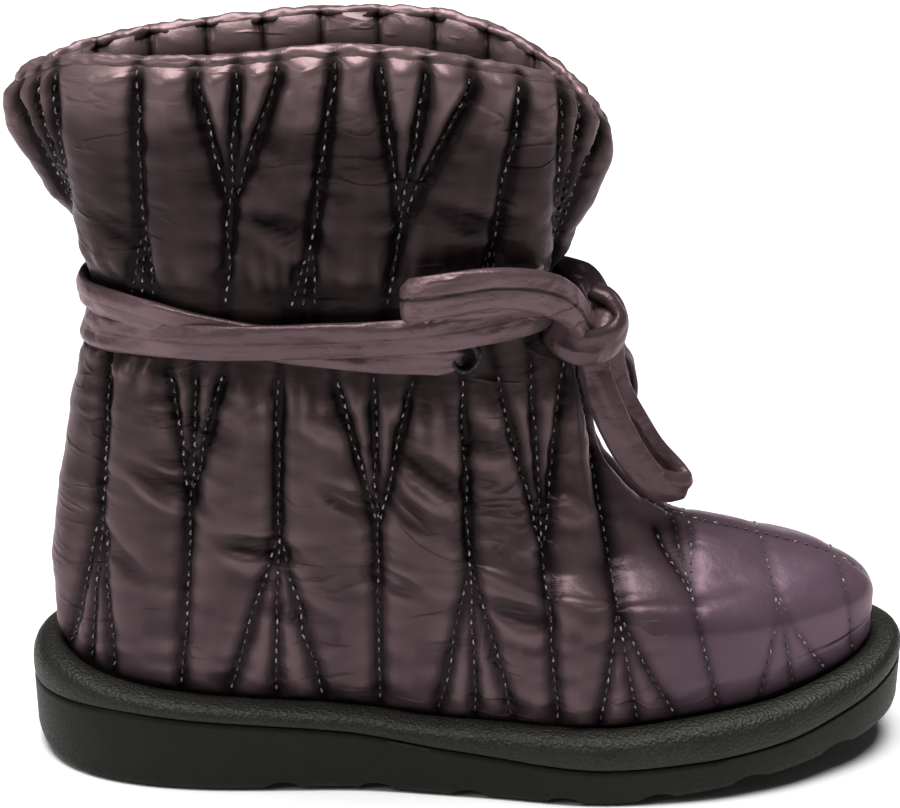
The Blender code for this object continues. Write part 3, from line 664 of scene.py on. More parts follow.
def quilted(levels, count, lines):
    """Outer face of the upper, held at its seams, blown out and creased, and how far it rises."""
    grid, level = edged_grid(levels, count)
    normal = grid_normals(grid)
    gap, mark, line = nearest_seam(grid, lines)
    tie = ease((TIE_FROM - level) / TIE_FADE) + ease((level - TIE_TO) / TIE_FADE)
    body = ease((level - FEATHER_FROM) / FEATHER) * tie * ease((RIM + EDGE_LEVELS - level) / 0.30)
    toe = 1.0 - TOE_CALM * toe_share(grid[:, :, 0])
    flat = 0.55 + 0.45 * ease((grid[:, :, 2] - LOW_PANEL) / LOW_PANEL_RUN)
    full = 1.0 - np.exp(-(gap / PUFF_WIDTH) ** PUFF_POWER)
    folds = 0.7 * puckers(gap, mark, line) + 0.8 * wrinkle_field(grid)
    rise = 0.7 * PUFF * full * toe * flat + folds * toe - SEAM_SINK * bell(gap, SEAM_WIDTH) * toe
    rise = (rise + gathers(grid, level)) * body + TOE_FILL * (1.0 - toe) * ease((level - 1.3) / 2.2) * tie
    turned = np.clip((level - RIM - 0.08) / 0.33, 0.0, 1.0)
    rise -= EDGE_TURN * (1.0 - np.sqrt(1.0 - turned ** 2))
    held = (gap < HELD_GAP) | (body < 0.02)
    push = toe ** 2 * flat * ease((level - FEATHER_FROM) / 2.2)
    blown = inflate(grid + normal * rise[:, :, None], held, push)
    out = np.sum((blown - grid) * normal, axis=2)
    free = np.clip(body * 1.5, 0.0, 1.0)
    limit = np.maximum((TOE_LIMIT + PANEL_LIMIT * toe) * free + 0.0004, rise)
    over = np.clip(out - limit, 0.0, None) - np.clip(-INWARD_LIMIT - out, 0.0, None)
    face = blown - normal * over[:, :, None] + normal * (crease_field(grid) * body)[:, :, None]
    sides = np.roll(face, 1, axis=1) + np.roll(face, -1, axis=1)
    face[1:-1] = 0.5 * face[1:-1] + 0.125 * (sides[1:-1] + face[:-2] + face[2:])
    return face, np.sum((face - grid) * normal, axis=2)


# Settings of the cloth: a negative shrink lets it grow
CLOTH = {
    "vertex_group_pressure": "filling",
    "vertex_group_mass": "seams",
    "quality": 4,
    "mass": 0.15,
    "tension_stiffness": 12.0,
    "compression_stiffness": 12.0,
    "shear_stiffness": 6.0,
    "bending_stiffness": 0.6,
    "vertex_group_shrink": "filling",
    "shrink_min": 0.0,
    "shrink_max": -0.032,
    "use_pressure": True,
    "uniform_pressure_force": 45.0,
}


def inflate(grid, held, push):
    """Cloth pinned along its seams and blown out by pressure, a little longer than its path."""
    bm = bmesh.new()
    add_rings(bm, grid)
    obj = add_mesh("cloth", bm)
    pins = obj.vertex_groups.new(name="seams")
    pins.add([int(i) for i in np.flatnonzero(held)], 1.0, "REPLACE")
    filling = obj.vertex_groups.new(name="filling")
    for i, share in enumerate(np.round(push.ravel(), 2)):
        filling.add([i], float(share), "REPLACE")
    cloth = obj.modifiers.new("Cloth", "CLOTH")
    for name, value in CLOTH.items():
        setattr(cloth.settings, name, value)
    cloth.settings.effector_weights.gravity = 0.0
    cloth.collision_settings.use_collision = False
    cloth.point_cache.frame_start = 1
    cloth.point_cache.frame_end = CLOTH_FRAMES
    scene = bpy.context.scene
    for number in range(1, CLOTH_FRAMES + 1):
        scene.frame_set(number)
    done = obj.evaluated_get(bpy.context.evaluated_depsgraph_get()).data
    flat = np.empty(len(done.vertices) * 3)
    done.vertices.foreach_get("co", flat)
    bpy.data.objects.remove(obj, do_unlink=True)
    scene.frame_set(1)
    return flat.reshape(grid.shape)


def lining(levels, count):
    """Inner face of the wall, puffing inwards between upright lines, and the painted shade of each point: a
    little everywhere, more in the valleys of the upright lines.
    """
    grid = base_grid(levels, count)
    normal = grid_normals(grid)
    level = np.asarray(levels)[:, None]
    turn = np.linspace(0.0, 1.0, count, endpoint=False)[None, :]
    wave = np.abs(np.sin(math.pi * LINING_SEAMS * turn))
    shaft = ease((level - 10.5) / 1.5)
    lump = np.array([[ripple(p, 90.0, 61) for p in row] for row in grid])
    edge = 1.0 - 0.5 * ease((level - RIM + 0.3) / 0.3)
    depth = WALL - 0.0012 + (0.0030 * wave ** 0.55 + 0.0008 * lump) * shaft * edge
    inner = grid - normal * depth[:, :, None]
    inner[0, :, 2] = grid[0, :, 2]
    inner[:, :, 2] += COLLAR_LIFT * ease((level - RIM + 0.7) / 0.7)
    return inner, 0.16 + 0.8 * bell(wave, 0.16) * shaft


def lining_lines(inner):
    """Upright quilting lines of the lining, near the collar."""
    lines = []
    for k in range(LINING_SEAMS):
        points = []
        for level in np.linspace(11.5, RIM - 0.1, 30):
            share = k / LINING_SEAMS
            side, part = (-1.0, 2.0 * share) if share <= 0.5 else (1.0, 2.0 - 2.0 * share)
            points.append(inner.find_nearest(Vector(half_ring(level, side, [part])[0]))[0])
        lines.append(np.array(points))
    return lines


def add_object(name, data):
    obj = bpy.data.objects.new(name, data)
    bpy.context.scene.collection.objects.link(obj)
    return obj


def add_mesh(name, bm):
    mesh = bpy.data.meshes.new(name)
    bm.to_mesh(mesh)
    bm.free()
    return add_object(name, mesh)


def new_piece(name, bm, material):
    """A smooth object from a mesh under construction."""
    bmesh.ops.recalc_face_normals(bm, faces=bm.faces)
    obj = add_mesh(name, bm)
    obj.data.polygons.foreach_set("use_smooth", [True] * len(obj.data.polygons))
    obj.data.materials.append(material)
    return obj


def add_rings(bm, rings, closed=False):
    verts = [[bm.verts.new(point) for point in ring] for ring in rings]
    pairs = list(zip(verts, verts[1:]))
    if closed:
        pairs.append((verts[-1], verts[0]))
    for low, high in pairs:
        for i in range(len(low)):
            k = (i + 1) % len(low)
            bm.faces.new((low[i], low[k], high[k], high[i]))
    return verts


def cap_across(bm, ring):
    """Close a long ring with faces from its outer side to its inner side."""
    count = len(ring)
    for i in range(count // 2):
        corners = (ring[i], ring[i + 1], ring[(count - i - 1) % count], ring[(count - i) % count])
        bm.faces.new(list(dict.fromkeys(corners)))


def join_unlike(bm, fine, coarse):
    step = len(fine) // len(coarse)
    for j in range(len(coarse)):
        run = [fine[(j * step + i) % len(fine)] for i in range(step + 1)]
        bm.faces.new(run + [coarse[(j + 1) % len(coarse)], coarse[j]])


def build_loft(name, profile, material):
    """A closed piece through the rings of a profile, closed across its first and last."""
    bm = bmesh.new()
    rings = add_rings(bm, profile)
    cap_across(bm, rings[0])
    cap_across(bm, rings[-1])
    return new_piece(name, bm, material)


def shade_points(obj, values):
    """Store each point's painted shade, and below 0 its painted highlight, for the nylon to read."""
    obj.data.attributes.new("painted_shade", "FLOAT", "POINT").data.foreach_set("value", values)


def ride(obj, slot, *nodes):
    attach(obj, "root")
    if nodes:
        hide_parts(*nodes)
    return obj


# Materials

def new_material(name, colour, roughness):
    material = bpy.data.materials.new(name)
    material.use_nodes = True
    tree = material.node_tree
    shader = tree.nodes["Principled BSDF"]
    shader.inputs["Base Color"].default_value = (*colour, 1.0)
    shader.inputs["Roughness"].default_value = roughness
    return material, tree, shader


def add_node(tree, kind, **values):
    node = tree.nodes.new(kind)
    for name, value in values.items():
        if name in node.inputs:
            node.inputs[name].default_value = value
        else:
            setattr(node, name, value)
    return node


def ramp(tree, source, low, high, low_value=0.0, high_value=1.0):
    """Map a number from one range to another."""
    limits = {"From Min": low, "From Max": high, "To Min": low_value, "To Max": high_value}
    node = add_node(tree, "ShaderNodeMapRange", **limits)
    tree.links.new(source, node.inputs["Value"])
    return node.outputs["Result"]


def mix_colour(tree, factor, first, second):
    node = add_node(tree, "ShaderNodeMix", data_type="RGBA")
    for socket, value in ((node.inputs[6], first), (node.inputs[7], second)):
        if isinstance(value, tuple):
            socket.default_value = (*value, 1.0)
        else:
            tree.links.new(value, socket)
    tree.links.new(factor, node.inputs[0])
    return node.outputs[2]


def coordinates(tree, scale):
    """Object coordinates in metres, stretched by a scale for each direction."""
    place = add_node(tree, "ShaderNodeTexCoord")
    mapping = add_node(tree, "ShaderNodeMapping")
    mapping.inputs["Scale"].default_value = scale
    tree.links.new(place.outputs["Object"], mapping.inputs["Vector"])
    return mapping.outputs["Vector"]


def noise_value(tree, scale, detail=2.0, stretch=(1.0, 1.0, 1.0), rough=0.5):
    node = add_node(tree, "ShaderNodeTexNoise", Scale=scale, Detail=detail, Roughness=rough)
    tree.links.new(coordinates(tree, stretch), node.inputs["Vector"])
    return node.outputs["Fac"]


def bump(tree, shader, layers):
    """Chain of bump nodes from (height socket, strength, distance) rows."""
    last = None
    for height, strength, distance in layers:
        node = add_node(tree, "ShaderNodeBump", Strength=strength, Distance=distance)
        tree.links.new(height, node.inputs["Height"])
        if last is not None:
            tree.links.new(last, node.inputs["Normal"])
        last = node.outputs["Normal"]
    tree.links.new(last, shader.inputs["Normal"])


def product(tree, first, second):
    node = add_node(tree, "ShaderNodeMath", operation="MULTIPLY")
    tree.links.new(first, node.inputs[0])
    tree.links.new(second, node.inputs[1])
    return node.outputs[0]


def fold_line(tree):
    """Thin long lines, mostly level, where a stretched noise passes its middle value."""
    middle = add_node(tree, "ShaderNodeMath", operation="SUBTRACT")
    tree.links.new(noise_value(tree, 44.0, 2.0, (0.7, 0.7, 2.0), 0.45), middle.inputs[0])
    middle.inputs[1].default_value = 0.5
    size = add_node(tree, "ShaderNodeMath", operation="ABSOLUTE")
    tree.links.new(middle.outputs[0], size.inputs[0])
    return ramp(tree, size.outputs[0], 0.0, 0.035, 1.0, 0.0)


def nylon(name, dark, light, toe, crumpled=0.20):
    """Thin satin nylon: tinted gloss, fine crumple and weave, painted shade in seams and folds, painted
    highlights on ridges and near the rim, and a cooler, lighter tone at the toe that is partly its own hue
    and partly painted highlight.
    """
    material, tree, shader = new_material(name, dark, 0.42)
    cloud = noise_value(tree, 30.0, 4.0)
    tone = mix_colour(tree, ramp(tree, cloud, 0.36, 0.66), dark, light)
    place = add_node(tree, "ShaderNodeTexCoord")
    split = add_node(tree, "ShaderNodeSeparateXYZ")
    tree.links.new(place.outputs["Object"], split.inputs["Vector"])
    # Towards the toe the tone turns lighter and more purple, partly its own hue and partly painted highlight
    forward = ramp(tree, split.outputs["X"], 0.040, 0.110)
    low = tuple(0.39 * c for c in toe)
    tone = mix_colour(tree, ramp(tree, split.outputs["Z"], 0.03, 0.11, 0.55, 0.0), tone, low)
    tone = mix_colour(tree, forward, tone, toe)
    # Painted shade in seams, folds and on the shaft darkens the colour towards near black; below 0 the same
    # attribute gives painted highlights, mixing towards the pale tone
    seam = add_node(tree, "ShaderNodeAttribute", attribute_name="painted_shade")
    depth = ramp(tree, seam.outputs["Fac"], 0.0, 1.0, 0.0, 0.93)
    tone = mix_colour(tree, depth, tone, (0.0030, 0.0020, 0.0021))
    pale = tuple(2.5 * c for c in light)
    tone = mix_colour(tree, ramp(tree, seam.outputs["Fac"], -1.0, 0.0, 1.0, 0.0), tone, pale)
    tree.links.new(tone, shader.inputs["Base Color"])
    gloss = noise_value(tree, 140.0, 3.0)
    tree.links.new(ramp(tree, gloss, 0.3, 0.7, 0.33, 0.43), shader.inputs["Roughness"])
    shader.inputs["Metallic"].default_value = 0.45
    shader.inputs["Specular IOR Level"].default_value = 0.10
    shader.inputs["Specular Tint"].default_value = (1.0, 0.80, 0.85, 1.0)
    shader.inputs["Sheen Weight"].default_value = 0.04
    shader.inputs["Sheen Roughness"].default_value = 0.35
    shader.inputs["Sheen Tint"].default_value = (0.95, 0.70, 0.80, 1.0)
    crumple = noise_value(tree, 190.0, 4.0, (1.0, 1.0, 1.3), 0.55)
    weave = noise_value(tree, 2400.0, 1.0)
    cross = noise_value(tree, 85.0, 1.2, (0.8, 0.8, 1.9), 0.5)
    near = product(tree, cross, ramp(tree, seam.outputs["Fac"], 0.0, 0.9, 0.22, 1.0))
    calm = ramp(tree, forward, 0.0, 0.6, 1.0, 0.08)
    sparse = ramp(tree, noise_value(tree, 36.0), 0.48, 0.62)
    sharp = product(tree, product(tree, fold_line(tree), sparse), calm)
    bump(tree, shader, [(product(tree, near, calm), 0.42, 0.0030), (sharp, 0.40, 0.0009),
                        (crumple, crumpled, 0.0010), (weave, 0.12, 0.00012)])
    return material


def rubber(name, colour, pebble):
    """Black moulded rubber; the pebbled kind has fine grains, with light specks painted on them as glints.
    """
    material, tree, shader = new_material(name, colour, 0.5)
    dust = noise_value(tree, 90.0, 4.0)
    lighter = tuple(1.5 * c for c in colour)
    tone = mix_colour(tree, ramp(tree, dust, 0.35, 0.7), colour, lighter)
    grain = add_node(tree, "ShaderNodeTexVoronoi", Scale=950.0 if pebble else 500.0)
    tree.links.new(coordinates(tree, (1.0, 1.0, 1.0)), grain.inputs["Vector"])
    fine = noise_value(tree, 1300.0, 3.0)
    # Painted glints: light specks in the pebbled kind's colour
    if pebble:
        tone = mix_colour(tree, ramp(tree, fine, 0.64, 0.74, 0.0, 0.5), tone, (0.10, 0.10, 0.09))
    tree.links.new(tone, shader.inputs["Base Color"])
    tree.links.new(ramp(tree, fine, 0.3, 0.7, 0.42, 0.66), shader.inputs["Roughness"])
    shader.inputs["Specular IOR Level"].default_value = 0.26 if pebble else 0.17
    shader.inputs["Specular Tint"].default_value = (1.0, 1.0, 0.86, 1.0)
    depth = 0.55 if pebble else 0.08
    bump(tree, shader, [(grain.outputs["Distance"], depth, 0.0005), (fine, depth * 0.7, 0.0003)])
    return material


def fleece(name, colour):
    material, tree, shader = new_material(name, colour, 0.95)
    pile = noise_value(tree, 900.0, 4.0)
    lighter = tuple(1.8 * c for c in colour)
    tone = mix_colour(tree, ramp(tree, pile, 0.3, 0.7), colour, lighter)
    tree.links.new(tone, shader.inputs["Base Color"])
    shader.inputs["Sheen Weight"].default_value = 0.4
    bump(tree, shader, [(pile, 0.8, 0.0012)])
    return material


def black_metal(name):
    black, worn = (0.014, 0.014, 0.016), (0.09, 0.09, 0.10)
    material, tree, shader = new_material(name, black, 0.3)
    shader.inputs["Metallic"].default_value = 0.9
    wear = noise_value(tree, 700.0, 4.0)
    tone = mix_colour(tree, ramp(tree, wear, 0.55, 0.75, 0.0, 0.6), black, worn)
    tree.links.new(tone, shader.inputs["Base Color"])
    tree.links.new(ramp(tree, wear, 0.3, 0.7, 0.22, 0.42), shader.inputs["Roughness"])
    return material


def thread_material(name):
    dull, painted_glint = (0.024, 0.017, 0.019), (0.36, 0.31, 0.33)
    material, tree, shader = new_material(name, (0.10, 0.07, 0.085), 0.38)
    # Painted glints: a share of the stitches is given a light colour
    glint = noise_value(tree, 420.0, 2.0)
    tone = mix_colour(tree, ramp(tree, glint, 0.50, 0.66), dull, painted_glint)
    tree.links.new(tone, shader.inputs["Base Color"])
    shader.inputs["Sheen Weight"].default_value = 0.2
    return material


# Pieces

def build_upper(lines, material, facing):
    """The padded wall as one closed piece: blown outer face, quilted lining and both edges."""
    outer, height = quilted(even_levels(ROWS), AROUND, lines)
    inner, painted_lining_shade = lining(even_levels(INNER_ROWS), INNER_AROUND)
    bm = bmesh.new()
    outside = add_rings(bm, outer)
    inside = add_rings(bm, inner)
    join_unlike(bm, outside[0], inside[0])
    join_unlike(bm, outside[-1], inside[-1])
    upper = new_piece("quilted_upper", bm, material)
    upper.data.materials.append(facing)
    first = outer.shape[0] * outer.shape[1]
    for face in upper.data.polygons:
        face.material_index = int(min(face.vertices) >= first)
    shade_points(upper, np.concatenate([painted_shade(outer, height, lines).ravel(), painted_lining_shade.ravel()]))
    ride(upper, "quilted_nylon", "upper")
    return surface_of_grid(outer), surface_of_grid(inner)


def hollow(height):
    """How far each point lies below the mean of its surroundings."""
    mean = height
    for _ in range(24):
        rows = np.vstack([mean[:1], mean, mean[-1:]])
        left, right = np.roll(mean, 1, axis=1), np.roll(mean, -1, axis=1)
        mean = (2.0 * mean + rows[:-2] + rows[2:] + left + right) / 6.0
    return mean - height


def painted_shade(grid, height, lines):
    """Painted shade of each point, up to 1 deep in a seam or fold and on the shaft; below 0 it is painted
    highlight on ridges and near the rim.
    """
    gap, mark, line = nearest_seam(grid, lines)
    wave = 0.75 - 0.25 * uneven(mark, line, PUCKER_PITCH)
    z = grid[:, :, 2]
    toe = 1.0 - 0.65 * toe_share(grid[:, :, 0])
    shaft = ease((z - 0.150) / 0.020)
    row = np.arange(len(grid))[:, None]
    # Painted highlight on the turned top edge and on the panel tops under the rim, where light from above
    # falls
    top = ease((row - ROWS) / 4.0)
    crown_highlight = ease((row - ROWS + 13) / 10.0) * (1.0 - bell(gap, 0.0030))
    leg = ease((z - 0.060) / 0.050)
    # Painted shade in and beside the seams
    valley = 0.70 * bell(gap, 0.0014 + 0.0008 * leg)
    wide = 0.14 + 0.34 * leg + 0.20 * shaft
    valley += wide * wave * toe * np.exp(-(gap / (0.0068 + 0.0022 * shaft)) ** 1.5)
    # Painted shade in hollows and painted highlight on ridges of the blown face
    fold = 0.50 * np.clip(hollow(height) / 0.0007, -1.3, 1.0) * toe * (1.0 - top)
    # Painted shadow over the shaft, less near its top
    shadow = 0.48 * shaft * (1.0 - 0.7 * ease((z - 0.212) / 0.016))
    return np.clip(valley + fold + shadow - 1.1 * crown_highlight - 0.9 * top, -1.0, 1.0)


def surface_of_grid(grid):
    """Tree of a grid's faces, for finding places on it."""
    rows, count = grid.shape[:2]
    faces = []
    for i in range(rows - 1):
        for j in range(count):
            k = (j + 1) % count
            faces.append((i * count + j, i * count + k, (i + 1) * count + k, (i + 1) * count + j))
    return BVHTree.FromPolygons([Vector(p) for p in grid.reshape(-1, 3)], faces)


def smoothed(rows, window):
    """Running mean along a line, with its ends kept."""
    ends = window // 2
    pad = np.pad(np.asarray(rows), ((ends, ends), (0, 0)), mode="edge")
    return np.column_stack([np.convolve(values, np.ones(window) / window, "valid") for values in pad.T])


def stitch_rings(places, out):
    """Rings of one raised stitch, thin and sunk at both ends."""
    wide = unit(np.cross(places[3] - places[0], out))
    angles = [math.pi * 2 * k / STITCH_SIDES for k in range(STITCH_SIDES)]
    rings = []
    for place, size, lift in zip(places, (0.45, 1.0, 1.0, 0.45), (-0.0001, 0.0003, 0.0003, -0.0001)):
        reach = STITCH_RADIUS * size
        rings.append([place + out * (lift + reach * math.sin(a)) + wide * reach * math.cos(a)
                      for a in angles])
    return rings


def build_stitches(name, lines, surface, material):
    """Thread of the quilting lines: short raised stitches in the seams, except under the tie."""
    bm = bmesh.new()
    for line in lines:
        found = [surface.find_nearest(Vector(point)) for point in line]
        spots = smoothed([place for place, _, _, _ in found], STITCH_SMOOTHING)
        outs = unit(smoothed([out for _, out, _, _ in found], STITCH_SMOOTHING))
        along = lengths(spots)
        for start in np.arange(STITCH_START, along[-1] - STITCH_LENGTH, STITCH_PITCH):
            marks = start + np.linspace(0.0, STITCH_LENGTH, 4)
            places = resample(spots, along, marks)
            if HIDDEN_LOW < places[1][2] < HIDDEN_HIGH and places[1][0] < TIE_FRONT:
                continue
            verts = add_rings(bm, stitch_rings(places, resample(outs, along, marks[1])[0]))
            bm.faces.new(verts[0])
            bm.faces.new(verts[-1])
    return ride(new_piece(name, bm, material), "quilted_nylon")


def build_collar(lines, material):
    """The rolled edge on top of the wall, thin, puckered and drawn in where seams meet it."""
    rim = base_grid([RIM - 0.02, RIM], AROUND)
    out = grid_normals(rim)[1]
    out[:, 2] = 0.0
    out = unit(out)
    middle = rim[1] - out * WALL * 0.60
    middle[:, 2] += ROLL_HEIGHT
    along = lengths(middle)
    tops = np.array([line[-1] for line in lines if line[-1][2] > 0.205])
    near = np.min(np.linalg.norm(rim[1][:, None, :2] - tops[None, :, :2], axis=2), axis=1)
    turn = np.arange(AROUND) / AROUND
    rib = np.abs(np.sin(math.pi * LINING_SEAMS * turn))
    rings, shade = [], []
    for k in range(COLLAR_SIDES):
        angle = 2.0 * math.pi * k / COLLAR_SIDES
        wave, lift = math.cos(angle), math.sin(angle)
        drawn = bell(near, 0.0022) if wave > 0.0 else bell(rib, 0.22)
        drawn = drawn * min(1.0, 0.4 + abs(wave))
        size = np.array([0.98 + 0.30 * ripple((d * 170.0, 1.2 * wave, 1.2 * lift), 1.0, 9)
                         + 0.14 * ripple((d * 420.0, wave, lift), 1.0, 11) for d in along]) - 0.30 * drawn
        rise = np.zeros_like(out)
        rise[:, 2] = ROLL_HIGH * lift
        rings.append(middle + (out * ROLL_WIDE * wave + rise) * size[:, None])
        # Painted shade where the roll is drawn in or thinned and on its underside, a little less on its top
        under, over = max(0.0, 0.15 - lift), max(0.0, lift)
        shade.append(0.85 * drawn + 0.6 * under - 0.30 * over + 0.8 * (0.95 - size))
    bm = bmesh.new()
    add_rings(bm, rings, closed=True)
    collar = ride(new_piece("rolled_collar", bm, material), "binding_nylon", "collar_binding")
    shade_points(collar, np.clip(np.concatenate(shade), 0.0, 1.0))
    return collar


def sole_ring(inset, line, lift):
    plan = sole_outline(SOLE_COUNT, inset)
    return np.column_stack([plan, sole_line(line, plan[:, 0]) + lift])


def band_ring(inset, share):
    plan = sole_outline(SOLE_COUNT, inset)
    low = sole_line("parting", plan[:, 0])
    high = sole_line("ledge", plan[:, 0])
    return np.column_stack([plan, low + (high - low) * share])


def cut_with(obj, bm):
    cutter = add_mesh("cut", bm)
    step = obj.modifiers.new("Cut", "BOOLEAN")
    step.object = cutter
    step.solver = "EXACT"
    with bpy.context.temp_override(object=obj, active_object=obj):
        bpy.ops.object.modifier_apply(modifier="Cut")
    bpy.data.objects.remove(cutter, do_unlink=True)


def build_outsole(material):
    """Rubber bottom with its edge, shallow cross grooves and centre channel."""
    profile = [
        sole_ring(0.0026, "bottom", 0.0),
        sole_ring(0.0014, "bottom", 0.0005),
        sole_ring(0.0008, "bottom", 0.0012),
        sole_ring(0.0004, "bottom", 0.0030),
        sole_ring(0.0002, "parting", -0.0020),
        sole_ring(0.0003, "parting", -0.0010),
        sole_ring(0.0010, "parting", -0.0003),
    ]
    outsole = build_loft("moulded_outsole", profile, material)
    for k in range(GROOVE_COUNT):
        x = GROOVE_FIRST + k * GROOVE_PITCH
        slope = math.atan((sole_line("bottom", x + 0.005) - sole_line("bottom", x - 0.005)) / 0.01)
        place = Matrix.Translation((x, 0.0, float(sole_line("bottom", x)) - GROOVE_DROP))
        size = Matrix.Diagonal((GROOVE_WIDTH * 0.80, GROOVE_DEPTH + GROOVE_DROP, BALL_WIDTH * 1.4, 1.0))
        cut = bmesh.new()
        lying = Matrix.Rotation(-slope, 4, "Y") @ Matrix.Rotation(math.pi / 2, 4, "X")
        bmesh.ops.create_cone(cut, cap_ends=True, segments=28, radius1=1.0, radius2=1.0, depth=1.0,
                              matrix=place @ lying @ size)
        cut_with(outsole, cut)
    cut = bmesh.new()
    place = Matrix.Translation((GROOVE_FIRST + 1.5 * GROOVE_PITCH, 0.0, GROOVE_DEPTH - 0.010))
    size = Matrix.Diagonal((3.0 * GROOVE_PITCH, GROOVE_WIDTH, 0.02, 1.0))
    bmesh.ops.create_cube(cut, size=1.0, matrix=place @ size)
    cut_with(outsole, cut)
    bm = bmesh.new()
    bm.from_mesh(outsole.data)
    for edge in bm.edges:
        edge.smooth = len(edge.link_faces) == 2 and edge.calc_face_angle() < math.radians(40)
    bm.to_mesh(outsole.data)
    bm.free()
    return ride(outsole, "outsole_rubber", "outsole")


def build_midsole(material):
    """Upper band of the sole: rounded side and the sloping pebbled ledge."""
    profile = [
        sole_ring(0.0010, "parting", CLEARANCE - 0.0003),
        sole_ring(0.0004, "parting", 0.0004),
        sole_ring(0.0002, "parting", 0.0009),
    ]
    for inset, share in ((0.0001, 0.25), (0.0002, 0.42), (0.0005, 0.56), (0.0012, 0.70), (0.0021, 0.80),
                         (0.0034, 0.88), (0.0050, 0.93), (0.0068, 0.97), (LEDGE_WIDTH - 0.0008, 1.0)):
        profile.append(band_ring(inset, share))
    profile.append(sole_ring(LEDGE_WIDTH + 0.0008, "ledge", -0.0008))
    profile.append(sole_ring(LEDGE_WIDTH + 0.0012, "ledge", -SEAT_DEPTH))
    return ride(build_loft("pebbled_midsole", profile, material), "midsole_foam", "midsole")


def build_insole(material):
    inset = LEDGE_WIDTH + WALL + 0.0048
    profile = [
        sole_ring(inset + 0.0006, "ledge", CLEARANCE - SEAT_DEPTH),
        sole_ring(inset, "ledge", 0.0008 - SEAT_DEPTH),
        sole_ring(inset, "ledge", 0.0030 - SEAT_DEPTH),
        sole_ring(inset + 0.0005, "ledge", 0.0038 - SEAT_DEPTH),
        sole_ring(inset + 0.0014, "ledge", 0.0042 - SEAT_DEPTH),
    ]
    return ride(build_loft("foot_bed", profile, material), "insole_fleece", "insole")


def ankle_place(turn, height):
    """The plain upper's point at a height on a half, with its outward direction."""
    side = -1.0 if turn < 0.0 else 1.0
    share = min(abs(turn), 1.0)
    levels = np.linspace(7.0, 13.0, 25)
    heights = [half_ring(level, side, [share])[0][2] for level in levels]
    level = float(np.interp(height, heights, levels))
    here = half_ring(level, side, [share])[0]
    above = half_ring(level + 0.15, side, [share])[0]
    ahead = half_ring(level, side, [min(share + 0.01, 1.0)])[0]
    behind = half_ring(level, side, [max(share - 0.01, 0.0)])[0]
    return here, unit(np.cross(ahead - behind, above - here) * -side)


def build_eyelet(name, side, node, material):
    """A pressed metal ring with a rounded rim, lying on the wall."""
    here, out = ankle_place(side * EYELET_SHARE, EYELET_HEIGHT)
    turn = Vector(out).to_track_quat("Z", "Y").to_matrix().to_4x4()
    place = Matrix.Translation(here) @ turn @ Matrix.Translation((0.0, 0.0, EYELET_LIFT))
    middle = (EYELET_INNER + EYELET_OUTER) / 2
    half = (EYELET_OUTER - EYELET_INNER) / 2
    turns = np.linspace(0.0, 2.0 * math.pi, EYELET_AROUND, endpoint=False)
    rings = []
    for k in range(EYELET_SIDES):
        angle = 2.0 * math.pi * k / EYELET_SIDES
        radius = middle + half * math.cos(angle)
        height = 0.0007 + 0.0009 * math.sin(angle)
        rings.append([place @ Vector((radius * math.cos(a), radius * math.sin(a), height)) for a in turns])
    bm = bmesh.new()
    add_rings(bm, rings, closed=True)
    return ride(new_piece(name, bm, material), "eyelet_metal", node)


def ribbon_sections(centres, faces, seed, sides, width, thick, taper, seamed):
    """Sections of a soft fabric tube pressed flat, with a middle seam and lengthwise folds."""
    centres = np.asarray(centres)
    along = unit(np.gradient(centres, axis=0))
    across = unit(np.cross(along, faces))
    facing = np.cross(across, along)
    mark = lengths(centres)
    rings, shade = [], []
    for here, wide, out, d in zip(centres, across, facing, mark):
        breadth = 1.0 + 0.07 * ripple((d, 0.0, 0.0), 60.0, seed)
        for near, reach in zip((d, mark[-1] - d), taper):
            if reach:
                breadth *= 0.45 + 0.55 * float(ease(near / reach))
        ring = []
        for k in range(sides):
            angle = 2.0 * math.pi * k / sides
            u = math.copysign(abs(math.cos(angle)) ** 0.95, math.cos(angle))
            v = math.copysign(abs(math.sin(angle)) ** 0.85, math.sin(angle))
            fold = 0.00085 * ripple((u * 1.5, d * 48.0, 0.0), 1.0, seed + 1)
            cross = 0.00045 * ripple((u * 1.8, d * 170.0, 0.0), 1.0, seed + 2)
            seam = seamed * math.exp(-(u / 0.08) ** 2)
            puff = math.copysign(1.0, v) * (fold + cross - 0.0005 * seam) * min(1.0, abs(v) * 1.5)
            ring.append(here + wide * u * breadth * width / 2 + out * (v * thick / 2 + puff))
            # Painted shade along the middle seam line, on the facing side
            shade.append(0.85 * seam if v > 0.0 else 0.0)
        rings.append(ring)
    return rings, shade


def build_ribbon(name, centres, faces, seed, material, *nodes, sides=48, width=TIE_WIDTH,
                 thick=TIE_THICK, taper=(0.0, 0.0), seamed=0.25, painted_shade_floor=0.0):
    """A flat fabric tube along a line; its painted shade is never below the dim value."""
    rings, shade = ribbon_sections(centres, faces, seed, sides, width, thick, taper, seamed)
    bm = bmesh.new()
    verts = add_rings(bm, rings)
    bm.faces.new(verts[0])
    bm.faces.new(verts[-1])
    piece = ride(new_piece(name, bm, material), "tie_nylon", *nodes)
    shade_points(piece, [max(value, painted_shade_floor) for value in shade])
    return piece


def strand(wraps, count):
    """Middle line and facing of a strand that lies around the ankle."""
    rows = np.array(wraps)
    turns = np.linspace(rows[0, 0], rows[-1, 0], count)
    centres, faces = [], []
    for turn in turns:
        height = float(curve(rows[:, 0], rows[:, 1], turn))
        lift = float(curve(rows[:, 0], rows[:, 2], turn))
        here, out = ankle_place(turn, height)
        centres.append(here + out * (lift + TIE_THICK / 2))
        faces.append(out)
    return np.array(centres), np.array(faces)


def build_loop(name, points, seed, material, node, width, seamed, painted_shade_floor):
    """A free loop of the bow."""
    line = route(points, 110)
    loop = build_ribbon(name, line[:, :3], line[:, 3:], seed, material, node, width=width,
                        thick=LOOP_THICK, seamed=seamed, painted_shade_floor=painted_shade_floor)
    return loop


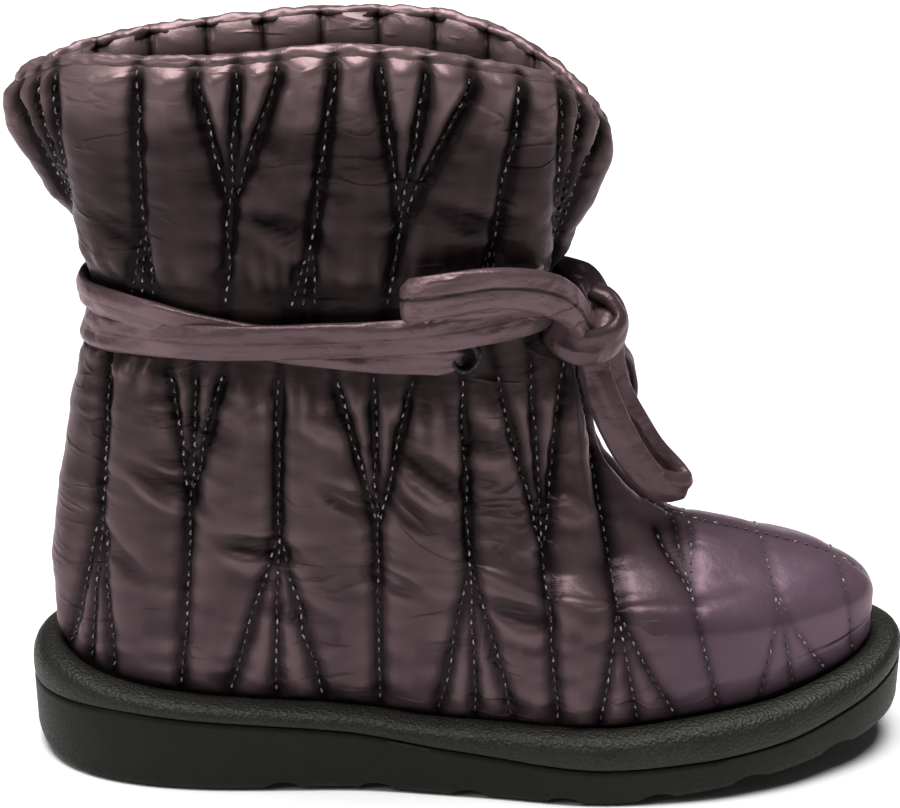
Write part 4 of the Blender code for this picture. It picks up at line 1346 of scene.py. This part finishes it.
def build_knot(material):
    """The knot: a soft core, the band around it, the strand that arches into it and the short end."""
    bm = bmesh.new()
    place = Matrix.Translation(KNOT_CENTRE) @ Matrix.Diagonal((*KNOT_SIZE, 1.0))
    bmesh.ops.create_uvsphere(bm, u_segments=48, v_segments=32, radius=1.0)
    for vert in bm.verts:
        vert.co = place @ (vert.co * (0.86 + 0.10 * ripple(vert.co, 1.7, 22)))
    ride(new_piece("tie_knot_core", bm, material), "tie_nylon", "tie_knot")
    # Each of these pieces has a least painted shade, darkest for the strand that arches in, which lies in
    # shade behind the lateral loop
    for name, points, seed, width, thick, painted_shade_floor in (
            ("tie_knot_band", KNOT_BAND, 27, 0.0112, KNOT_THICK, 0.34),
            ("tie_knot_strand", KNOT_ARCH, 31, 0.0128, KNOT_THICK, 0.66),
            ("tie_knot_tail", KNOT_END, 35, TIE_WIDTH, TIE_THICK, 0.50)):
        line = route(points, 60)
        build_ribbon(name, line[:, :3], line[:, 3:], seed, material, width=width, thick=thick,
                     seamed=0.1, painted_shade_floor=painted_shade_floor)


def build_tie(material):
    over, under = strand(OVER_STRAND, 280), strand(UNDER_STRAND, 280)
    build_ribbon("tie_over_strand", *over, 41, material, "tie_wrap", taper=(0.012, 0.012))
    build_ribbon("tie_under_strand", *under, 45, material, taper=(0.012, 0.0))
    build_loop("bow_loop_lateral", LATERAL_LOOP, 51, material, "tie_loop_lateral",
               width=0.0124, seamed=1.0, painted_shade_floor=0.0)
    # The front loop is painted a little darker throughout, for the shade of the knot above
    build_loop("bow_loop_front", FRONT_LOOP, 55, material, "tie_loop_front",
               width=0.0102, seamed=0.1, painted_shade_floor=0.22)
    build_knot(material)


def build_camera():
    data = bpy.data.cameras.new("photo_camera")
    data.sensor_width = SENSOR_MM
    data.lens = SENSOR_MM * FOCAL_PX / PHOTO_WIDTH_PX
    camera = add_object("photo_camera", data)
    camera.location = CAMERA_PLACE
    camera.rotation_euler = (math.radians(CAMERA_TILT), 0.0, 0.0)
    bpy.context.scene.camera = camera


def build_light(name, kind, place, target, energy):
    data = bpy.data.lights.new(name, kind)
    data.energy = energy
    light = add_object(name, data)
    light.location = place
    light.rotation_euler = (Vector(target) - Vector(place)).to_track_quat("-Z", "Y").to_euler()
    return data


def build_stage():
    """A pale floor and soft studio light from above."""
    bm = bmesh.new()
    bmesh.ops.create_grid(bm, x_segments=1, y_segments=1, size=4.0)
    floor = new_piece("floor", bm, new_material("pale_floor", FLOOR, 0.8)[0])
    world = bpy.data.worlds.new("studio")
    bpy.context.scene.world = world
    world.use_nodes = True
    background = world.node_tree.nodes["Background"]
    background.inputs["Color"].default_value = (1.0, 1.0, 1.0, 1.0)
    background.inputs["Strength"].default_value = 0.05
    top = build_light("top", "SUN", place=(-0.05, -0.05, 1.35), target=(0.0, 0.0, 0.10), energy=5.6)
    top.angle = math.radians(42)
    key = build_light("key", "AREA", place=(-0.85, -0.60, 0.75), target=(-0.03, 0.0, 0.12), energy=2.3)
    key.shape = "DISK"
    key.size = 0.40
    bpy.context.scene.view_settings.view_transform = "Standard"


def main():
    build_camera()
    build_stage()
    lines = seam_lines()
    fabric = nylon("quilted_nylon", *FABRIC)
    lit_roll_fabric = nylon("lit_collar_nylon", *LIT_ROLL)
    tie_fabric = nylon("tie_nylon", *TIE, crumpled=0.60)
    outside, inside = build_upper(lines, fabric, lit_roll_fabric)
    thread = thread_material("thread")
    build_stitches("quilting_thread", lines, outside, thread)
    build_stitches("lining_thread", lining_lines(inside), inside, thread)
    build_collar(lines, lit_roll_fabric)
    build_outsole(rubber("outsole_rubber", OUTSOLE_BLACK, False))
    build_midsole(rubber("pebbled_rubber", LEDGE_BLACK, True))
    build_insole(fleece("insole_fleece", FLEECE))
    metal = black_metal("black_metal")
    build_eyelet("eyelet_ring_lateral", -1.0, "eyelet_lateral", metal)
    build_eyelet("eyelet_ring_medial", 1.0, "eyelet_medial", metal)
    build_tie(tie_fabric)


main()
bpy.context.view_layer.update()
